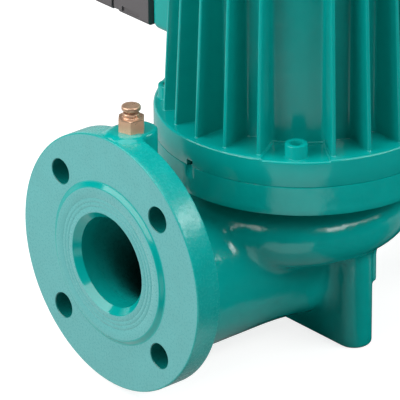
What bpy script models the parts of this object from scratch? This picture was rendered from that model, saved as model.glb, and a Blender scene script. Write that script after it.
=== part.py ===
"""Vertical in-line centrifugal water pump with a close-coupled electric motor.

Metres, +Z up. The origin is on the base of the foot, under the motor's axis, and +X runs along the pipe
line from the suction flange to the discharge flange. The terminal box faces +Y.
"""

import math

import bmesh
import bpy
import numpy as np
from mathutils import Matrix, Vector

# Clearances
SEAT_GAP = 0.0003
RUNNING_GAP = 0.0005

# Roundness of turned and drilled shapes
LARGE_STEPS = 32
IMPELLER_STEPS = 24
MEDIUM_STEPS = 16
SMALL_STEPS = 10

# Pipe line and flanges
PIPE_HEIGHT = 0.100
PORT_TO_PORT = 0.360
FLANGE_RADIUS = 0.0925
FLANGE_THICKNESS = 0.022
FLANGE_CHAMFER = 0.001
RAISED_FACE_HEIGHT = 0.0025
RAISED_FACE_RADIUS = 0.054
RAISED_FACE_FOOT_RADIUS = 0.059
BORE_RADIUS = 0.0325
MOUTH_CHAMFER = 0.0045
BOLT_CIRCLE_RADIUS = 0.0725
BOLT_HOLE_RADIUS = 0.009
BOLT_HOLE_COUNT = 4

# Casting walls
WATER_WALL = 0.007
SUCTION_WALL = 0.007

# Casing ring and the drum above the volute
RING_RADIUS = 0.105
CASING_RISE = 0.0505
CASING_RING_HEIGHT = 0.0215
RING_CHAMFER = 0.001
DRUM_WALL = 0.006
DRUM_TAPER = 0.028

# Volute spiral, clockwise from the tongue as seen from the motor
TONGUE_ANGLE = 10.0
SPIRAL_ANGLE = 250.0
SPIRAL_STATIONS = 15
SPIRAL_START_ROOM = 0.0045
SPIRAL_REACH_PER_TURN = 0.0533
SPIRAL_SECTION_START = 0.022
SPIRAL_SECTION_PER_TURN = 0.0108
NECK_PULL = 0.180
NECK_STATIONS = 6
SECTION_SIDES = 16

# Suction passage, which dips under the volute and turns up into the eye
SUCTION_DEPTH = 0.077
DIP_LENGTH = 0.077
DIP_START = 0.008
FLAT_HALF_HEIGHT = 0.022
FLAT_HALF_WIDTH = 0.038
FLATTEN_LENGTH = 0.065
ELBOW_PIVOT_OFFSET = 0.002
ELBOW_SIDE_SHARE = 0.85
EYE_RADIUS = 0.032
NECK_BULK = 0.050
NECK_BULK_DROP = 0.014
BODY_RADIUS = 0.045
BODY_DROP = 0.040
BODY_END_HALF_WIDTH = 0.0455

# Foot
FOOT_HALF_LENGTH = 0.0665
FOOT_HALF_THICKNESS = 0.0125
FOOT_EDGE = 0.002
FOOT_PAD_HEIGHT = 0.039
FOOT_PAD_PROUD = 0.0035
FOOT_PAD_WIDTH = 0.024

# Impeller, wear ring and what holds them on the shaft
IMPELLER_SETBACK = 0.043
IMPELLER_SIDE_ROOM = 0.004
OUTLET_HALF_WIDTH = 0.0045
SHROUD_THICKNESS = 0.004
FRONT_SHROUD_THICKNESS = 0.003
EYE_NECK_RADIUS = 0.037
EYE_NECK_DROP = 0.014
EYE_NECK_LENGTH = 0.012
VANE_COUNT = 6
VANE_THICKNESS = 0.003
VANE_INNER_RADIUS = 0.026
VANE_SWEEP = 85.0
VANE_POINTS = 9
HUB_RADIUS = 0.016
HUB_DROP = 0.012
HUB_RISE = 0.012
WEAR_RING_WALL = 0.0045
WEAR_RING_LEDGE = 0.0064
WASHER_RADIUS = 0.013
WASHER_THICKNESS = 0.002
NUT_CORNER_RADIUS = 0.0105
NUT_HEIGHT = 0.009
KEY_SIZE = 0.005
KEY_LENGTH = 0.014

# Shaft radii, from the impeller up to the fan
THREAD_RADIUS = 0.006
IMPELLER_SEAT_RADIUS = 0.0085
SEAL_SEAT_RADIUS = 0.010
LOWER_BEARING_BORE_RADIUS = 0.0125
ROTOR_SEAT_RADIUS = 0.016
UPPER_BEARING_BORE_RADIUS = 0.010
FAN_SEAT_RADIUS = 0.0085
SHAFT_TIP = 0.003

# Casing cover with the shaft seal
COVER_EDGE_ROOM = 0.010
COVER_RIM_HEIGHT = 0.006
COVER_SPIGOT_STEP = 0.004
COVER_WALL = 0.006
GASKET_THICKNESS = 0.001
SEAL_CHAMBER_RADIUS = 0.024
SEAT_CUP_RADIUS = 0.020
SEAT_CUP_WALL = 0.003
SEAT_HEIGHT = 0.008
SEAL_FACE_HEIGHT = 0.006
SEAL_FACE_RADIUS = 0.016
BELLOWS_WALL = 0.003
SPRING_WIRE_RADIUS = 0.001
SPRING_TURNS = 4
SPRING_POINTS_PER_TURN = 10
SHAFT_HOLE_ROOM = 0.0025
SLINGER_RADIUS = 0.019
SLINGER_HEIGHT = 0.0045

# Motor housing
MOTOR_FLANGE_HEIGHT = 0.0195
BODY_SETBACK = 0.031
BODY_WALL = 0.005
HOUSING_HEIGHT = 0.175
FIN_SETBACK = 0.0055
FIN_DRAFT = 3.0
FIN_THICKNESS = 0.003
FIN_PITCH = 15
LANTERN_SETBACK = 0.004
LANTERN_HEIGHT = 0.0075
BEARING_WALL = 0.009
BEARING_HUB_WALL = 0.008
LEAK_SLOT_WIDTH = 0.006
LEAK_SLOT_HEIGHT = 0.0042
LEAK_GROOVE_RADIUS = 0.0045
LEAK_GROOVE_LENGTH = 0.012
POCKET_DEPTH = 0.001
POCKET_HALF_ANGLE = 13.0

# Casing screws
CASING_SCREW_SETBACK = 0.011
CASING_SCREW_RADIUS = 0.0049
CASING_SCREW_HEAD_RADIUS = 0.0079
CASING_SCREW_HEAD_HEIGHT = 0.0097
CASING_SCREW_SOCKET_RADIUS = 0.0046
CASING_SCREW_SOCKET_DEPTH = 0.005
CASING_SCREW_HOLE_ROOM = 0.0006
CASING_SCREW_THREAD_LENGTH = 0.017
FIRST_SCREW_ANGLE = 45
SCREW_COUNT = 4

# Bearings
LOWER_BEARING_RADIUS = 0.026
LOWER_BEARING_WIDTH = 0.015
LOWER_BEARING_BALLS = 9
UPPER_BEARING_RADIUS = 0.0235
UPPER_BEARING_WIDTH = 0.014
UPPER_BEARING_BALLS = 8
BALL_RADIUS = 0.0038
RACE_SHOULDER = 0.0028
CAGE_WALL = 0.0008
CAGE_HEIGHT = 0.003

# Stator and rotor
CORE_END_ROOM = 0.075
CORE_ABOVE_WALL = 0.040
AIR_GAP = 0.0005
ROTOR_SHARE = 0.6
END_RING_SETBACK = 0.0024
END_RING_HEIGHT = 0.010
WINDING_HEIGHT = 0.023
WINDING_BORE_ROOM = 0.0031
WINDING_ROOM = 0.004
WINDING_ROUNDING = 0.006

# Upper end shield with its screws
SHIELD_THICKNESS = 0.008
SHIELD_OVERHANG = 0.005
SHIELD_SPIGOT_DEPTH = 0.008
SHIELD_SPIGOT_WALL = 0.006
SHIELD_HUB_WALL = 0.006
SHIELD_END_WALL = 0.004
SHIELD_BEARING_DROP = 0.006
PRELOAD_WASHER_THICKNESS = 0.001
LUG_WIDTH = 0.020
SHIELD_SCREW_OFFSET = 0.0035
SHIELD_SCREW_RADIUS = 0.0024
SHIELD_SCREW_HEAD_RADIUS = 0.0043
SHIELD_SCREW_HEAD_HEIGHT = 0.005
SHIELD_SCREW_LENGTH = 0.018
BOSS_RADIUS = 0.007
BOSS_HEIGHT = 0.026

# Fan and its cover
FAN_RADIUS = 0.070
FAN_HUB_RADIUS = 0.014
FAN_HUB_HEIGHT = 0.018
FAN_DISC_THICKNESS = 0.0025
FAN_BLADE_COUNT = 8
FAN_BLADE_THICKNESS = 0.002
FAN_BLADE_HEIGHT = 0.016
FAN_LIFT = 0.003
CLIP_THICKNESS = 0.0012
CLIP_RADIUS = 0.012
CLIP_MOUTH = 0.009
FAN_COVER_WALL = 0.0016
FAN_COVER_FIN_ROOM = 0.001
FAN_COVER_HEIGHT = 0.053
FAN_COVER_SKIRT = 0.006
FAN_COVER_ROUNDING = 0.010
GRILLE_SLOTS = 20
GRILLE_INNER_RADIUS = 0.026
GRILLE_OUTER_RADIUS = 0.072
GRILLE_SLOT_WIDTH = 0.005
COVER_SCREW_RADIUS = 0.0019
COVER_SCREW_HEAD_RADIUS = 0.004
COVER_SCREW_HEAD_HEIGHT = 0.0022
COVER_SCREW_LENGTH = 0.008

# Terminal box
PAD_INSET = 0.002
PAD_LIFT = 0.0358
PAD_HEIGHT = 0.099
PAD_SETBACK = 0.0032
PAD_ROUNDING = 0.006
BOX_HALF_WIDTH = 0.055
BOX_HEIGHT = 0.095
BOX_BASE_DEPTH = 0.039
BOX_LID_DEPTH = 0.021
BOX_WALL = 0.003
BOX_ROUNDING = 0.003
BOX_LIP_HEIGHT = 0.006
BOX_GASKET_THICKNESS = 0.001
BOX_GASKET_WIDTH = 0.0025
LEAD_HOLE_RADIUS = 0.012
LEAD_HOLE_LIFT = 0.023
LID_SCREW_INSET = 0.009
LID_SCREW_RADIUS = 0.0019
LID_SCREW_HEAD_RADIUS = 0.004
LID_SCREW_HEAD_HEIGHT = 0.003
LID_SCREW_GRIP = 0.010
LID_POST_RADIUS = 0.0055
BLOCK_HALF_WIDTH = 0.030
BLOCK_HEIGHT = 0.036
BLOCK_DEPTH = 0.010
BLOCK_ABOVE_HOLE = 0.006
STUD_RADIUS = 0.0022
STUD_LENGTH = 0.010
STUD_PITCH = 0.018
STUD_ROW_OFFSET = 0.009
BOX_SCREW_RADIUS = 0.0024
BOX_SCREW_HEAD_RADIUS = 0.0045
BOX_SCREW_HEAD_HEIGHT = 0.004
BOX_SCREW_LENGTH = 0.012
BOX_SCREW_INSET = 0.014
GLAND_RADIUS = 0.0098
GLAND_HEX_RADIUS = 0.0145
GLAND_HEX_LENGTH = 0.006
GLAND_STUB_LENGTH = 0.008
GLAND_NOSE_LENGTH = 0.010
GLAND_BORE_RADIUS = 0.006
GLAND_CAP_LENGTH = 0.014
GLAND_CAP_WALL = 0.003
RECESS_LENGTH = 0.019
RECESS_HEIGHT = 0.0034
RECESS_DEPTH = 0.0016
RECESS_LIFT = 0.0028

# Air vent behind the suction flange
VENT_SETBACK = 0.0238
BOSS_RISE = 0.0005
BOSS_HALF_WIDTH = 0.013
BOSS_SETBACK = 0.008
BOSS_LENGTH = 0.035
VENT_STEM_RADIUS = 0.0048
VENT_STEM_LENGTH = 0.014
VENT_HEX_RADIUS = 0.0098
VENT_HEX_HEIGHT = 0.010
VENT_HEX_TURN = 17.5
VENT_COLLAR_RADIUS = 0.0058
VENT_COLLAR_HEIGHT = 0.003
VENT_BORE_RADIUS = 0.0028
VENT_HOLE_RADIUS = 0.0014
VENT_SEAT_DEPTH = 0.008
VENT_SEAL_HEIGHT = 0.0024
VENT_NECK_HEIGHT = 0.0022
VENT_KNOB_RADIUS = 0.0066
VENT_KNOB_HEIGHT = 0.0032
VENT_KNOB_EDGE = 0.001

# Radii and heights that follow from the sizes above
FLANGE_FACE = PORT_TO_PORT / 2
FLANGE_BACK = FLANGE_FACE - FLANGE_THICKNESS
IMPELLER_RADIUS = RING_RADIUS - IMPELLER_SETBACK
CHAMBER_RADIUS = IMPELLER_RADIUS + IMPELLER_SIDE_ROOM
SPIRAL_START_RADIUS = CHAMBER_RADIUS + SPIRAL_START_ROOM
COVER_SPIGOT_RADIUS = CHAMBER_RADIUS + COVER_SPIGOT_STEP
DRUM_RADIUS = COVER_SPIGOT_RADIUS + DRUM_WALL
DRUM_FOOT_RADIUS = DRUM_RADIUS - DRUM_TAPER
CASING_SCREW_CIRCLE = RING_RADIUS - CASING_SCREW_SETBACK
COVER_RADIUS = CASING_SCREW_CIRCLE - COVER_EDGE_ROOM
LANTERN_RADIUS = COVER_RADIUS - LANTERN_SETBACK
FIN_TIP_RADIUS = RING_RADIUS - FIN_SETBACK
BODY_OUTER_RADIUS = RING_RADIUS - BODY_SETBACK
BODY_BORE_RADIUS = BODY_OUTER_RADIUS - BODY_WALL
ROTOR_RADIUS = BODY_BORE_RADIUS * ROTOR_SHARE
END_RING_RADIUS = ROTOR_RADIUS - END_RING_SETBACK
WINDING_INNER_RADIUS = ROTOR_RADIUS + WINDING_BORE_ROOM
WINDING_OUTER_RADIUS = BODY_BORE_RADIUS - WINDING_ROOM
SHIELD_RADIUS = BODY_OUTER_RADIUS + SHIELD_OVERHANG
SHIELD_SCREW_CIRCLE = BODY_OUTER_RADIUS + SHIELD_SCREW_OFFSET
PAD_FACE = RING_RADIUS - PAD_SETBACK
PAD_HALF_WIDTH = BOX_HALF_WIDTH - PAD_INSET
BOX_SCREW_SPREAD = BOX_HALF_WIDTH - BOX_SCREW_INSET
CORE_LENGTH = HOUSING_HEIGHT - CORE_END_ROOM
CASING_TOP = PIPE_HEIGHT + CASING_RISE
CASING_RING_BOTTOM = CASING_TOP - CASING_RING_HEIGHT
COVER_RIM_BOTTOM = CASING_TOP - COVER_RIM_HEIGHT
GASKET_TOP = COVER_RIM_BOTTOM - SEAT_GAP
GASKET_BOTTOM = GASKET_TOP - GASKET_THICKNESS
COVER_LEDGE = GASKET_BOTTOM - SEAT_GAP
BACK_SHROUD_BOTTOM = PIPE_HEIGHT + OUTLET_HALF_WIDTH
BACK_SHROUD_TOP = BACK_SHROUD_BOTTOM + SHROUD_THICKNESS
FRONT_SHROUD_TOP = PIPE_HEIGHT - OUTLET_HALF_WIDTH
FRONT_SHROUD_BOTTOM = FRONT_SHROUD_TOP - FRONT_SHROUD_THICKNESS
EYE_NECK_TOP = PIPE_HEIGHT - EYE_NECK_DROP
EYE_NECK_BOTTOM = EYE_NECK_TOP - EYE_NECK_LENGTH
COVER_BOTTOM = BACK_SHROUD_TOP + IMPELLER_SIDE_ROOM
WEAR_RING_INNER_RADIUS = EYE_NECK_RADIUS + RUNNING_GAP
WEAR_RING_OUTER_RADIUS = WEAR_RING_INNER_RADIUS + WEAR_RING_WALL
WEAR_SEAT_RADIUS = WEAR_RING_OUTER_RADIUS + SEAT_GAP
WEAR_SEAT_BOTTOM = EYE_NECK_BOTTOM - RUNNING_GAP
WEAR_SEAT_TOP = EYE_NECK_TOP - IMPELLER_SIDE_ROOM
DRUM_BOTTOM = WEAR_SEAT_BOTTOM - WEAR_RING_LEDGE
HUB_BOTTOM = PIPE_HEIGHT - HUB_DROP
HUB_TOP = PIPE_HEIGHT + HUB_RISE
WASHER_BOTTOM = HUB_BOTTOM - SEAT_GAP - WASHER_THICKNESS
NUT_TOP = WASHER_BOTTOM - SEAT_GAP
NUT_BOTTOM = NUT_TOP - NUT_HEIGHT
SHAFT_BOTTOM = NUT_BOTTOM - SHAFT_TIP
MOTOR_FLANGE_BOTTOM = CASING_TOP + SEAT_GAP
MOTOR_FLANGE_TOP = MOTOR_FLANGE_BOTTOM + MOTOR_FLANGE_HEIGHT
SCREW_SEAT = MOTOR_FLANGE_TOP - POCKET_DEPTH
HOUSING_TOP = MOTOR_FLANGE_TOP + HOUSING_HEIGHT
BEARING_WALL_BOTTOM = MOTOR_FLANGE_BOTTOM + LANTERN_HEIGHT
BEARING_WALL_TOP = BEARING_WALL_BOTTOM + BEARING_WALL
LOWER_BEARING_BOTTOM = BEARING_WALL_BOTTOM + SHIELD_END_WALL
LOWER_BEARING_TOP = LOWER_BEARING_BOTTOM + LOWER_BEARING_WIDTH
CORE_BOTTOM = BEARING_WALL_TOP + CORE_ABOVE_WALL
CORE_TOP = CORE_BOTTOM + CORE_LENGTH
SHIELD_BOTTOM = HOUSING_TOP + SEAT_GAP
SHIELD_TOP = SHIELD_BOTTOM + SHIELD_THICKNESS
UPPER_BEARING_BOTTOM = SHIELD_BOTTOM - SHIELD_BEARING_DROP
UPPER_BEARING_TOP = UPPER_BEARING_BOTTOM + UPPER_BEARING_WIDTH
PRELOAD_BOTTOM = UPPER_BEARING_TOP + SEAT_GAP
PRELOAD_TOP = PRELOAD_BOTTOM + PRELOAD_WASHER_THICKNESS
SHIELD_HUB_CEILING = PRELOAD_TOP + SEAT_GAP
SHIELD_HUB_TOP = SHIELD_HUB_CEILING + SHIELD_END_WALL
FAN_BOTTOM = SHIELD_HUB_TOP + FAN_LIFT
FAN_TOP = FAN_BOTTOM + FAN_HUB_HEIGHT
CLIP_BOTTOM = FAN_TOP + SEAT_GAP
CLIP_TOP = CLIP_BOTTOM + CLIP_THICKNESS
SHAFT_TOP = CLIP_TOP + SHAFT_TIP
FIN_SLOPE = math.tan(math.radians(FIN_DRAFT))
FAN_COVER_INNER_RADIUS = FIN_TIP_RADIUS - HOUSING_HEIGHT * FIN_SLOPE + FAN_COVER_FIN_ROOM
FAN_COVER_OUTER_RADIUS = FAN_COVER_INNER_RADIUS + FAN_COVER_WALL
FAN_COVER_BOTTOM = HOUSING_TOP - FAN_COVER_SKIRT
FAN_COVER_TOP = FAN_COVER_BOTTOM + FAN_COVER_HEIGHT
SCREW_ANGLES = [FIRST_SCREW_ANGLE + turn * 360 // SCREW_COUNT for turn in range(SCREW_COUNT)]
BOX_BACK = PAD_FACE + SEAT_GAP
BOX_RIM = BOX_BACK + BOX_BASE_DEPTH
BOX_GASKET_BACK = BOX_RIM + SEAT_GAP
LID_BACK = BOX_GASKET_BACK + BOX_GASKET_THICKNESS + SEAT_GAP
LID_FACE = LID_BACK + BOX_LID_DEPTH
PAD_BOTTOM = MOTOR_FLANGE_TOP + PAD_LIFT
BOX_BOTTOM = PAD_BOTTOM + (PAD_HEIGHT - BOX_HEIGHT) / 2
BOX_TOP = BOX_BOTTOM + BOX_HEIGHT
LEAD_HOLE_HEIGHT = BOX_BOTTOM + LEAD_HOLE_LIFT
VENT_X = VENT_SETBACK - FLANGE_FACE
BOSS_FRONT = BOSS_SETBACK - FLANGE_FACE
BOSS_BACK = BOSS_FRONT + BOSS_LENGTH
BOSS_TOP = PIPE_HEIGHT + FLANGE_RADIUS + BOSS_RISE
VENT_BASE = BOSS_TOP + SEAT_GAP
VENT_HEX_TOP = VENT_BASE + VENT_HEX_HEIGHT
VENT_COLLAR_TOP = VENT_HEX_TOP + VENT_COLLAR_HEIGHT
VENT_SEAT = VENT_COLLAR_TOP - VENT_SEAT_DEPTH

# Colour, roughness and metallic value of each finish
PAINT = ((0.0, 0.33, 0.28), 0.32, 0.0)
BRASS = ((0.62, 0.36, 0.16), 0.32, 1.0)
CAST_STEEL = ((0.30, 0.30, 0.30), 0.55, 1.0)
BRIGHT_STEEL = ((0.62, 0.62, 0.62), 0.28, 1.0)
BRONZE = ((0.45, 0.29, 0.14), 0.40, 1.0)
RUBBER = ((0.02, 0.02, 0.02), 0.75, 0.0)
CARBON = ((0.04, 0.04, 0.045), 0.45, 0.0)
CERAMIC = ((0.85, 0.83, 0.78), 0.30, 0.0)
COPPER = ((0.55, 0.22, 0.10), 0.40, 1.0)
GREY_PLASTIC = ((0.085, 0.072, 0.078), 0.55, 0.0)
MOULDING = ((0.32, 0.12, 0.05), 0.60, 0.0)
NYLON = ((0.80, 0.80, 0.76), 0.50, 0.0)
GASKET_PAPER = ((0.25, 0.22, 0.18), 0.85, 0.0)

SMOOTH_ANGLE = math.radians(32)
MERGE = 0.000001
CUT_OVER = 0.004


def new_collection(name):
    """A collection in the scene."""
    made = bpy.data.collections.new(name)
    bpy.context.scene.collection.children.link(made)
    return made


for old in list(bpy.data.objects):
    bpy.data.objects.remove(old, do_unlink=True)
PARTS = new_collection("centrifugal_water_pump")
CUTTERS = new_collection("pump_cutters")


def place(name, mesh):
    """An object with this mesh, among the parts."""
    made = bpy.data.objects.new(name, mesh)
    PARTS.objects.link(made)
    return made


def turned(name, profile, steps=MEDIUM_STEPS, solid=False):
    """A profile of (radius, height) points carried round Z, down its outer side and up its inner side.

    A solid profile starts and ends on the axis; any other is a closed loop.
    """
    count = len(profile)
    edges = [(i, i + 1) for i in range(count - 1)]
    if not solid:
        edges.append((count - 1, 0))
    mesh = bpy.data.meshes.new(name)
    mesh.from_pydata([(radius, 0.0, height) for radius, height in profile], edges, [])
    made = place(name, mesh)
    turn = made.modifiers.new("Turn", "SCREW")
    turn.steps = steps
    turn.render_steps = steps
    turn.use_merge_vertices = True
    turn.merge_threshold = MERGE
    return made


def ring(name, inner, outer, low, high, steps=MEDIUM_STEPS):
    """A plain round ring."""
    return turned(name, [(outer, high), (outer, low), (inner, low), (inner, high)], steps)


def rod(name, start, end, radius, sides=SMALL_STEPS, end_radius=None):
    """A round, six-sided or tapered bar from one point to another."""
    start = Vector(start)
    along = Vector(end) - start
    shape = bmesh.new()
    bmesh.ops.create_cone(
        shape, cap_ends=True, segments=sides, radius1=radius,
        radius2=radius if end_radius is None else end_radius, depth=along.length,
    )
    turn = along.to_track_quat("Z", "Y").to_matrix().to_4x4()
    shape.transform(Matrix.Translation(start + along / 2) @ turn)
    mesh = bpy.data.meshes.new(name)
    shape.to_mesh(mesh)
    shape.free()
    return place(name, mesh)


def block(name, low, high, rounding=0.0, segments=2):
    """A box between two corners, with its edges rounded."""
    low = Vector(low)
    size = Vector(high) - low
    shape = bmesh.new()
    bmesh.ops.create_cube(shape, size=1.0)
    shape.transform(Matrix.Translation(low + size / 2) @ Matrix.Diagonal((*size, 1.0)))
    mesh = bpy.data.meshes.new(name)
    shape.to_mesh(mesh)
    shape.free()
    made = place(name, mesh)
    if rounding:
        edge = made.modifiers.new("Edges", "BEVEL")
        edge.width = rounding
        edge.segments = segments
    return made


def plate(name, outline, low, high, turn=None):
    """A flat outline in X and Y, made solid from low to high along Z, then turned into place."""
    curve = bpy.data.curves.new(name, "CURVE")
    curve.dimensions = "2D"
    curve.fill_mode = "BOTH"
    curve.extrude = (high - low) / 2
    spline = curve.splines.new("POLY")
    spline.points.add(len(outline) - 1)
    for point, (x, y) in zip(spline.points, outline):
        point.co = (x, y, 0.0, 1.0)
    spline.use_cyclic_u = True
    drawn = place(name + "_outline", curve)
    bpy.context.view_layer.update()
    graph = bpy.context.evaluated_depsgraph_get()
    mesh = bpy.data.meshes.new_from_object(drawn.evaluated_get(graph))
    bpy.data.objects.remove(drawn, do_unlink=True)
    shape = bmesh.new()
    shape.from_mesh(mesh)
    bmesh.ops.remove_doubles(shape, verts=shape.verts, dist=MERGE)
    bmesh.ops.recalc_face_normals(shape, faces=shape.faces)
    shape.transform((turn or Matrix()) @ Matrix.Translation((0.0, 0.0, (low + high) / 2)))
    shape.to_mesh(mesh)
    shape.free()
    return place(name, mesh)


def loft(name, rings):
    """Faces from each ring of points to the next, with a flat end on the first and the last."""
    count = len(rings[0])
    faces = [tuple(range(count))]
    for level in range(len(rings) - 1):
        for i in range(count):
            j = (i + 1) % count
            below = level * count
            above = below + count
            faces.append((below + i, below + j, above + j, above + i))
    faces.append(tuple(range((len(rings) - 1) * count, len(rings) * count)))
    mesh = bpy.data.meshes.new(name)
    mesh.from_pydata(np.concatenate(rings).tolist(), [], faces)
    shape = bmesh.new()
    shape.from_mesh(mesh)
    bmesh.ops.recalc_face_normals(shape, faces=shape.faces)
    shape.to_mesh(mesh)
    shape.free()
    return place(name, mesh)


def joined(name, pieces):
    """Several plain meshes as one object that still holds them apart."""
    shape = bmesh.new()
    for piece in pieces:
        shape.from_mesh(piece.data)
        bpy.data.objects.remove(piece, do_unlink=True)
    mesh = bpy.data.meshes.new(name)
    shape.to_mesh(mesh)
    shape.free()
    return place(name, mesh)


def combine(part, operation, others):
    """Adds, cuts or keeps the shapes of others in part, and puts them among the cutters."""
    for other in others:
        step = part.modifiers.new(other.name, "BOOLEAN")
        step.operation = operation
        step.object = other
        step.solver = "EXACT"
        PARTS.objects.unlink(other)
        CUTTERS.objects.link(other)
        other.hide_render = True
        other.display_type = "WIRE"
    return part


def add(part, *others):
    """Joins others to part."""
    return combine(part, "UNION", others)


def cut(part, *others):
    """Takes others out of part."""
    return combine(part, "DIFFERENCE", others)


def dress(part, finish):
    """Gives a part its own material."""
    colour, roughness, metallic = finish
    material = bpy.data.materials.new(part.name + "_finish")
    material.use_nodes = True
    shader = material.node_tree.nodes["Principled BSDF"]
    shader.inputs["Base Color"].default_value = (*colour, 1.0)
    shader.inputs["Roughness"].default_value = roughness
    shader.inputs["Metallic"].default_value = metallic
    part.data.materials.append(material)
    return part


def polar(radius, degrees, height=0.0):
    """A point at this angle round the motor's axis."""
    angle = math.radians(degrees)
    return Vector((radius * math.cos(angle), radius * math.sin(angle), height))


def smooth_step(value):
    """Rises from 0 to 1 with level ends."""
    held = min(max(value, 0.0), 1.0)
    return held * held * (3.0 - 2.0 * held)


def oval(centre, across, up, half_width, half_height):
    """A ring of points round a centre."""
    angle = np.linspace(0.0, 2.0 * math.pi, SECTION_SIDES, endpoint=False)[:, None]
    return (
        np.asarray(centre)
        + np.cos(angle) * half_width * np.asarray(across)
        + np.sin(angle) * half_height * np.asarray(up)
    )


def spiral_station(degrees):
    """Centre, heading and waterway radius of the volute this far round from the tongue."""
    turn = degrees / 360.0
    reach = SPIRAL_START_RADIUS + SPIRAL_REACH_PER_TURN * turn
    section = SPIRAL_SECTION_START + SPIRAL_SECTION_PER_TURN * turn
    angle = math.radians(TONGUE_ANGLE - degrees)
    centre = (reach - section) * np.array((math.cos(angle), math.sin(angle)))
    return centre, np.array((math.sin(angle), -math.cos(angle))), section - WATER_WALL


def neck_station(share):
    """The same for the discharge neck, on one smooth curve from the end of the spiral to the flange."""
    start, heading, radius = spiral_station(SPIRAL_ANGLE)
    end = np.array((FLANGE_BACK + FLANGE_THICKNESS / 4, 0.0))
    leave = heading * NECK_PULL
    arrive = np.array((NECK_PULL, 0.0))
    t = share
    centre = (
        (2 * t**3 - 3 * t**2 + 1) * start + (t**3 - 2 * t**2 + t) * leave
        + (3 * t**2 - 2 * t**3) * end + (t**3 - t**2) * arrive
    )
    along = (
        (6 * t**2 - 6 * t) * (start - end) + (3 * t**2 - 4 * t + 1) * leave + (3 * t**2 - 2 * t) * arrive
    )
    return centre, along / np.linalg.norm(along), radius + (BORE_RADIUS - radius) * smooth_step(t)


def volute_rings(wall, ends):
    """Sections of the spiral and its neck, grown by a wall and carried on to ends, as (x, radius)."""
    stations = [spiral_station(degrees) for degrees in np.linspace(0.0, SPIRAL_ANGLE, SPIRAL_STATIONS)]
    stations += [neck_station(step / NECK_STATIONS) for step in range(1, NECK_STATIONS + 1)]
    stations += [(np.array((x, 0.0)), np.array((1.0, 0.0)), radius) for x, radius in ends]
    rings = []
    for centre, heading, radius in stations:
        across = (-heading[1], heading[0], 0.0)
        rings.append(oval((*centre, PIPE_HEIGHT), across, (0.0, 0.0, 1.0), radius + wall, radius + wall))
    return rings


MOUTH = (
    (FLANGE_FACE - MOUTH_CHAMFER, BORE_RADIUS),
    (FLANGE_FACE + CUT_OVER, BORE_RADIUS + MOUTH_CHAMFER + CUT_OVER),
)
ELBOW_X = -(EYE_RADIUS + ELBOW_PIVOT_OFFSET)
ELBOW_Z = PIPE_HEIGHT - SUCTION_DEPTH + 2 * FLAT_HALF_HEIGHT + ELBOW_PIVOT_OFFSET
ELBOW_STEP = 15


def elbow_rings(wall):
    """Sections of the suction bend, fanned about its inner corner until they face up into the eye."""
    rings = []
    for degrees in range(0, 91, ELBOW_STEP):
        share = degrees / 90.0
        angle = math.radians(degrees)
        half_height = FLAT_HALF_HEIGHT + (EYE_RADIUS - FLAT_HALF_HEIGHT) * share
        half_width = FLAT_HALF_WIDTH + (EYE_RADIUS - FLAT_HALF_WIDTH) * share
        outward = np.array((math.sin(angle), 0.0, -math.cos(angle)))
        reach = ELBOW_PIVOT_OFFSET + half_height
        if wall:
            half_height += wall / 2
            reach += wall / 2
        centre = np.array((ELBOW_X, 0.0, ELBOW_Z)) + outward * reach
        half_width += wall * ELBOW_SIDE_SHARE
        rings.append(oval(centre, (0.0, 1.0, 0.0), outward, half_width, half_height))
    return rings


def suction_rings():
    """Sections of the suction waterway, from outside the flange to the start of the bend."""
    start = -FLANGE_FACE + DIP_START
    rings = [
        oval((-x, 0.0, PIPE_HEIGHT), (0.0, 1.0, 0.0), (0.0, 0.0, -1.0), radius, radius)
        for x, radius in reversed(MOUTH)
    ]
    for x in np.linspace(start, ELBOW_X, 10)[:-1]:
        drop = smooth_step((x - start) / DIP_LENGTH)
        flat = smooth_step((x - ELBOW_X + FLATTEN_LENGTH + FLAT_HALF_HEIGHT / 2) / FLATTEN_LENGTH)
        half_height = BORE_RADIUS + (FLAT_HALF_HEIGHT - BORE_RADIUS) * flat
        half_width = BORE_RADIUS + (FLAT_HALF_WIDTH - BORE_RADIUS) * flat
        floor = PIPE_HEIGHT - BORE_RADIUS + (BORE_RADIUS - SUCTION_DEPTH) * drop
        rings.append(
            oval((x, 0.0, floor + half_height), (0.0, 1.0, 0.0), (0.0, 0.0, -1.0), half_width, half_height)
        )
    return rings


def suction_body_rings():
    """Sections of the casting round the suction waterway, from inside the flange to the foot."""
    start = -FLANGE_BACK - FLANGE_THICKNESS / 2
    settled = start + DIP_LENGTH / 2
    rings = []
    for x in [*np.linspace(start, settled, 5), *np.linspace(settled, 0.0, 4)[1:]]:
        drop = smooth_step((x - start) / (settled - start))
        end = smooth_step((x - settled) / -settled)
        half_height = NECK_BULK + (BODY_RADIUS - NECK_BULK) * drop
        half_width = BODY_RADIUS + (BODY_END_HALF_WIDTH - BODY_RADIUS) * end
        height = PIPE_HEIGHT - NECK_BULK_DROP - (BODY_DROP - NECK_BULK_DROP) * drop
        rings.append(oval((x, 0.0, height), (0.0, 1.0, 0.0), (0.0, 0.0, -1.0), half_width, half_height))
    return rings


def flange(name, towards):
    """A pipe flange as a solid disc, its raised face looking towards -1 or +1 along X."""
    face = FLANGE_FACE - RAISED_FACE_HEIGHT
    made = turned(name, [
        (0.0, FLANGE_FACE), (RAISED_FACE_RADIUS, FLANGE_FACE), (RAISED_FACE_FOOT_RADIUS, face),
        (FLANGE_RADIUS - FLANGE_CHAMFER, face), (FLANGE_RADIUS, face - FLANGE_CHAMFER),
        (FLANGE_RADIUS, FLANGE_BACK + FLANGE_CHAMFER), (FLANGE_RADIUS - FLANGE_CHAMFER, FLANGE_BACK),
        (0.0, FLANGE_BACK),
    ], LARGE_STEPS, solid=True)
    made.location = (0.0, 0.0, PIPE_HEIGHT)
    made.rotation_euler = (0.0, towards * math.pi / 2, 0.0)
    return made


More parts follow.
